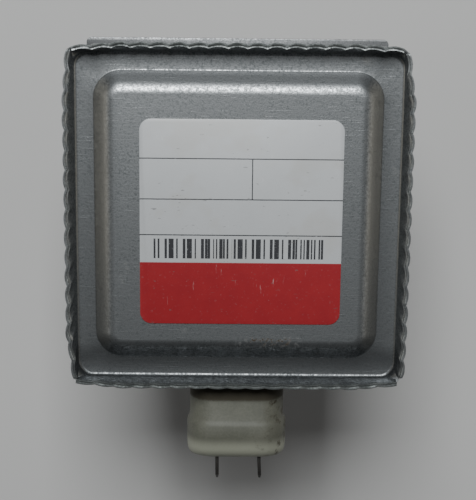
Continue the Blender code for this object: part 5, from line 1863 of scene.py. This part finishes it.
@dataclass
class InnerParts:
    """The CAD nodes inside the tube and the box, which keep their shapes and get real finishes."""

    palette: Palette

    def build(self) -> None:
        """Gives each node that still shows the finish of its slot in the record."""
        slots = {part["node"]: Slot(part["material_slot"]) for part in frame["record"]["subparts"]}
        for name, node in frame["nodes"].items():
            if node.hide_render:
                continue
            slot = slots[name]
            node.data.materials.clear()
            node.data.materials.append(self.palette.by_slot[slot])
            LOG.info("%s keeps its CAD shape, in %s", name, slot.value)


@dataclass(frozen=True)
class SoftLight:
    """A square soft light that faces the part."""

    name: str
    place: Triple
    size: float
    power: float
    colour: Colour
    aim: Triple = (0.0, 0.0, 0.03)

    def hang(self) -> None:
        """Adds the light."""
        data = bpy.data.lights.new(self.name, "AREA")
        data.shape = "SQUARE"
        data.size = self.size
        data.energy = self.power
        data.color = self.colour
        light = bpy.data.objects.new(self.name, data)
        light.location = self.place
        facing = Vector(self.aim) - Vector(self.place)
        light.rotation_euler = facing.to_track_quat("-Z", "Y").to_euler()
        bpy.context.scene.collection.objects.link(light)


@dataclass
class Studio:
    """The floor, the soft light and the camera."""

    floor_height: float = -0.0302
    camera_place: Triple = (-0.0034, 0.0742, 0.4377)
    camera_turns: Triple = (-13.22, -0.54, 0.52)
    lens: float = 99.07
    air: tuple[float, ...] = (0.93, 0.96, 1.0, 1.0)
    air_strength: float = 0.035
    lights: tuple[SoftLight, ...] = (
        SoftLight("window_light", (-0.06, 0.69, 1.13), 0.45, 16.3, (0.96, 0.99, 1.0)),
        SoftLight("left_fill", (-1.20, 0.0, 0.50), 0.8, 1.35, (1.0, 1.0, 0.96)),
        SoftLight("right_fill", (1.20, 0.0, 0.50), 0.8, 1.3, (1.0, 1.0, 0.96)),
    )

    def build(self) -> None:
        """Sets up all three."""
        clear_selection()
        bpy.ops.mesh.primitive_plane_add(size=4.0, location=(0.0, 0.0, self.floor_height))
        floor = bpy.context.object
        floor.name = "floor"
        floor.data.materials.append(PaleFloor().material())
        for light in self.lights:
            light.hang()
        world = bpy.data.worlds.new("studio_air")
        world.use_nodes = True
        background = world.node_tree.nodes["Background"]
        background.inputs["Color"].default_value = self.air
        background.inputs["Strength"].default_value = self.air_strength
        bpy.context.scene.world = world
        self.add_camera()

    def add_camera(self) -> None:
        """Sets the camera where the photograph was taken from."""
        data = bpy.data.cameras.new("camera")
        data.lens = self.lens
        data.sensor_width = 36.0
        camera = bpy.data.objects.new("camera", data)
        turn = Matrix.Identity(3)
        for angle, axis in zip(self.camera_turns, "XYZ"):
            turn = turn @ Matrix.Rotation(math.radians(angle), 3, axis)
        camera.rotation_euler = turn.to_euler()
        camera.location = self.camera_place
        bpy.context.scene.collection.objects.link(camera)
        bpy.context.scene.camera = camera


def main() -> None:
    """Builds every sub-assembly in order, dresses the rest and lights the scene."""
    logging.basicConfig(level=logging.INFO, format="%(name)s: %(message)s")
    palette = Palette(rim_edge=0.0871)
    for kind in (PlateAndYoke, Tube, Gasket, CoolingFins, FilterBox, Cover, Capacitor, InnerParts):
        kind(palette).build()
    Studio().build()


if __name__ == "__main__":
    main()
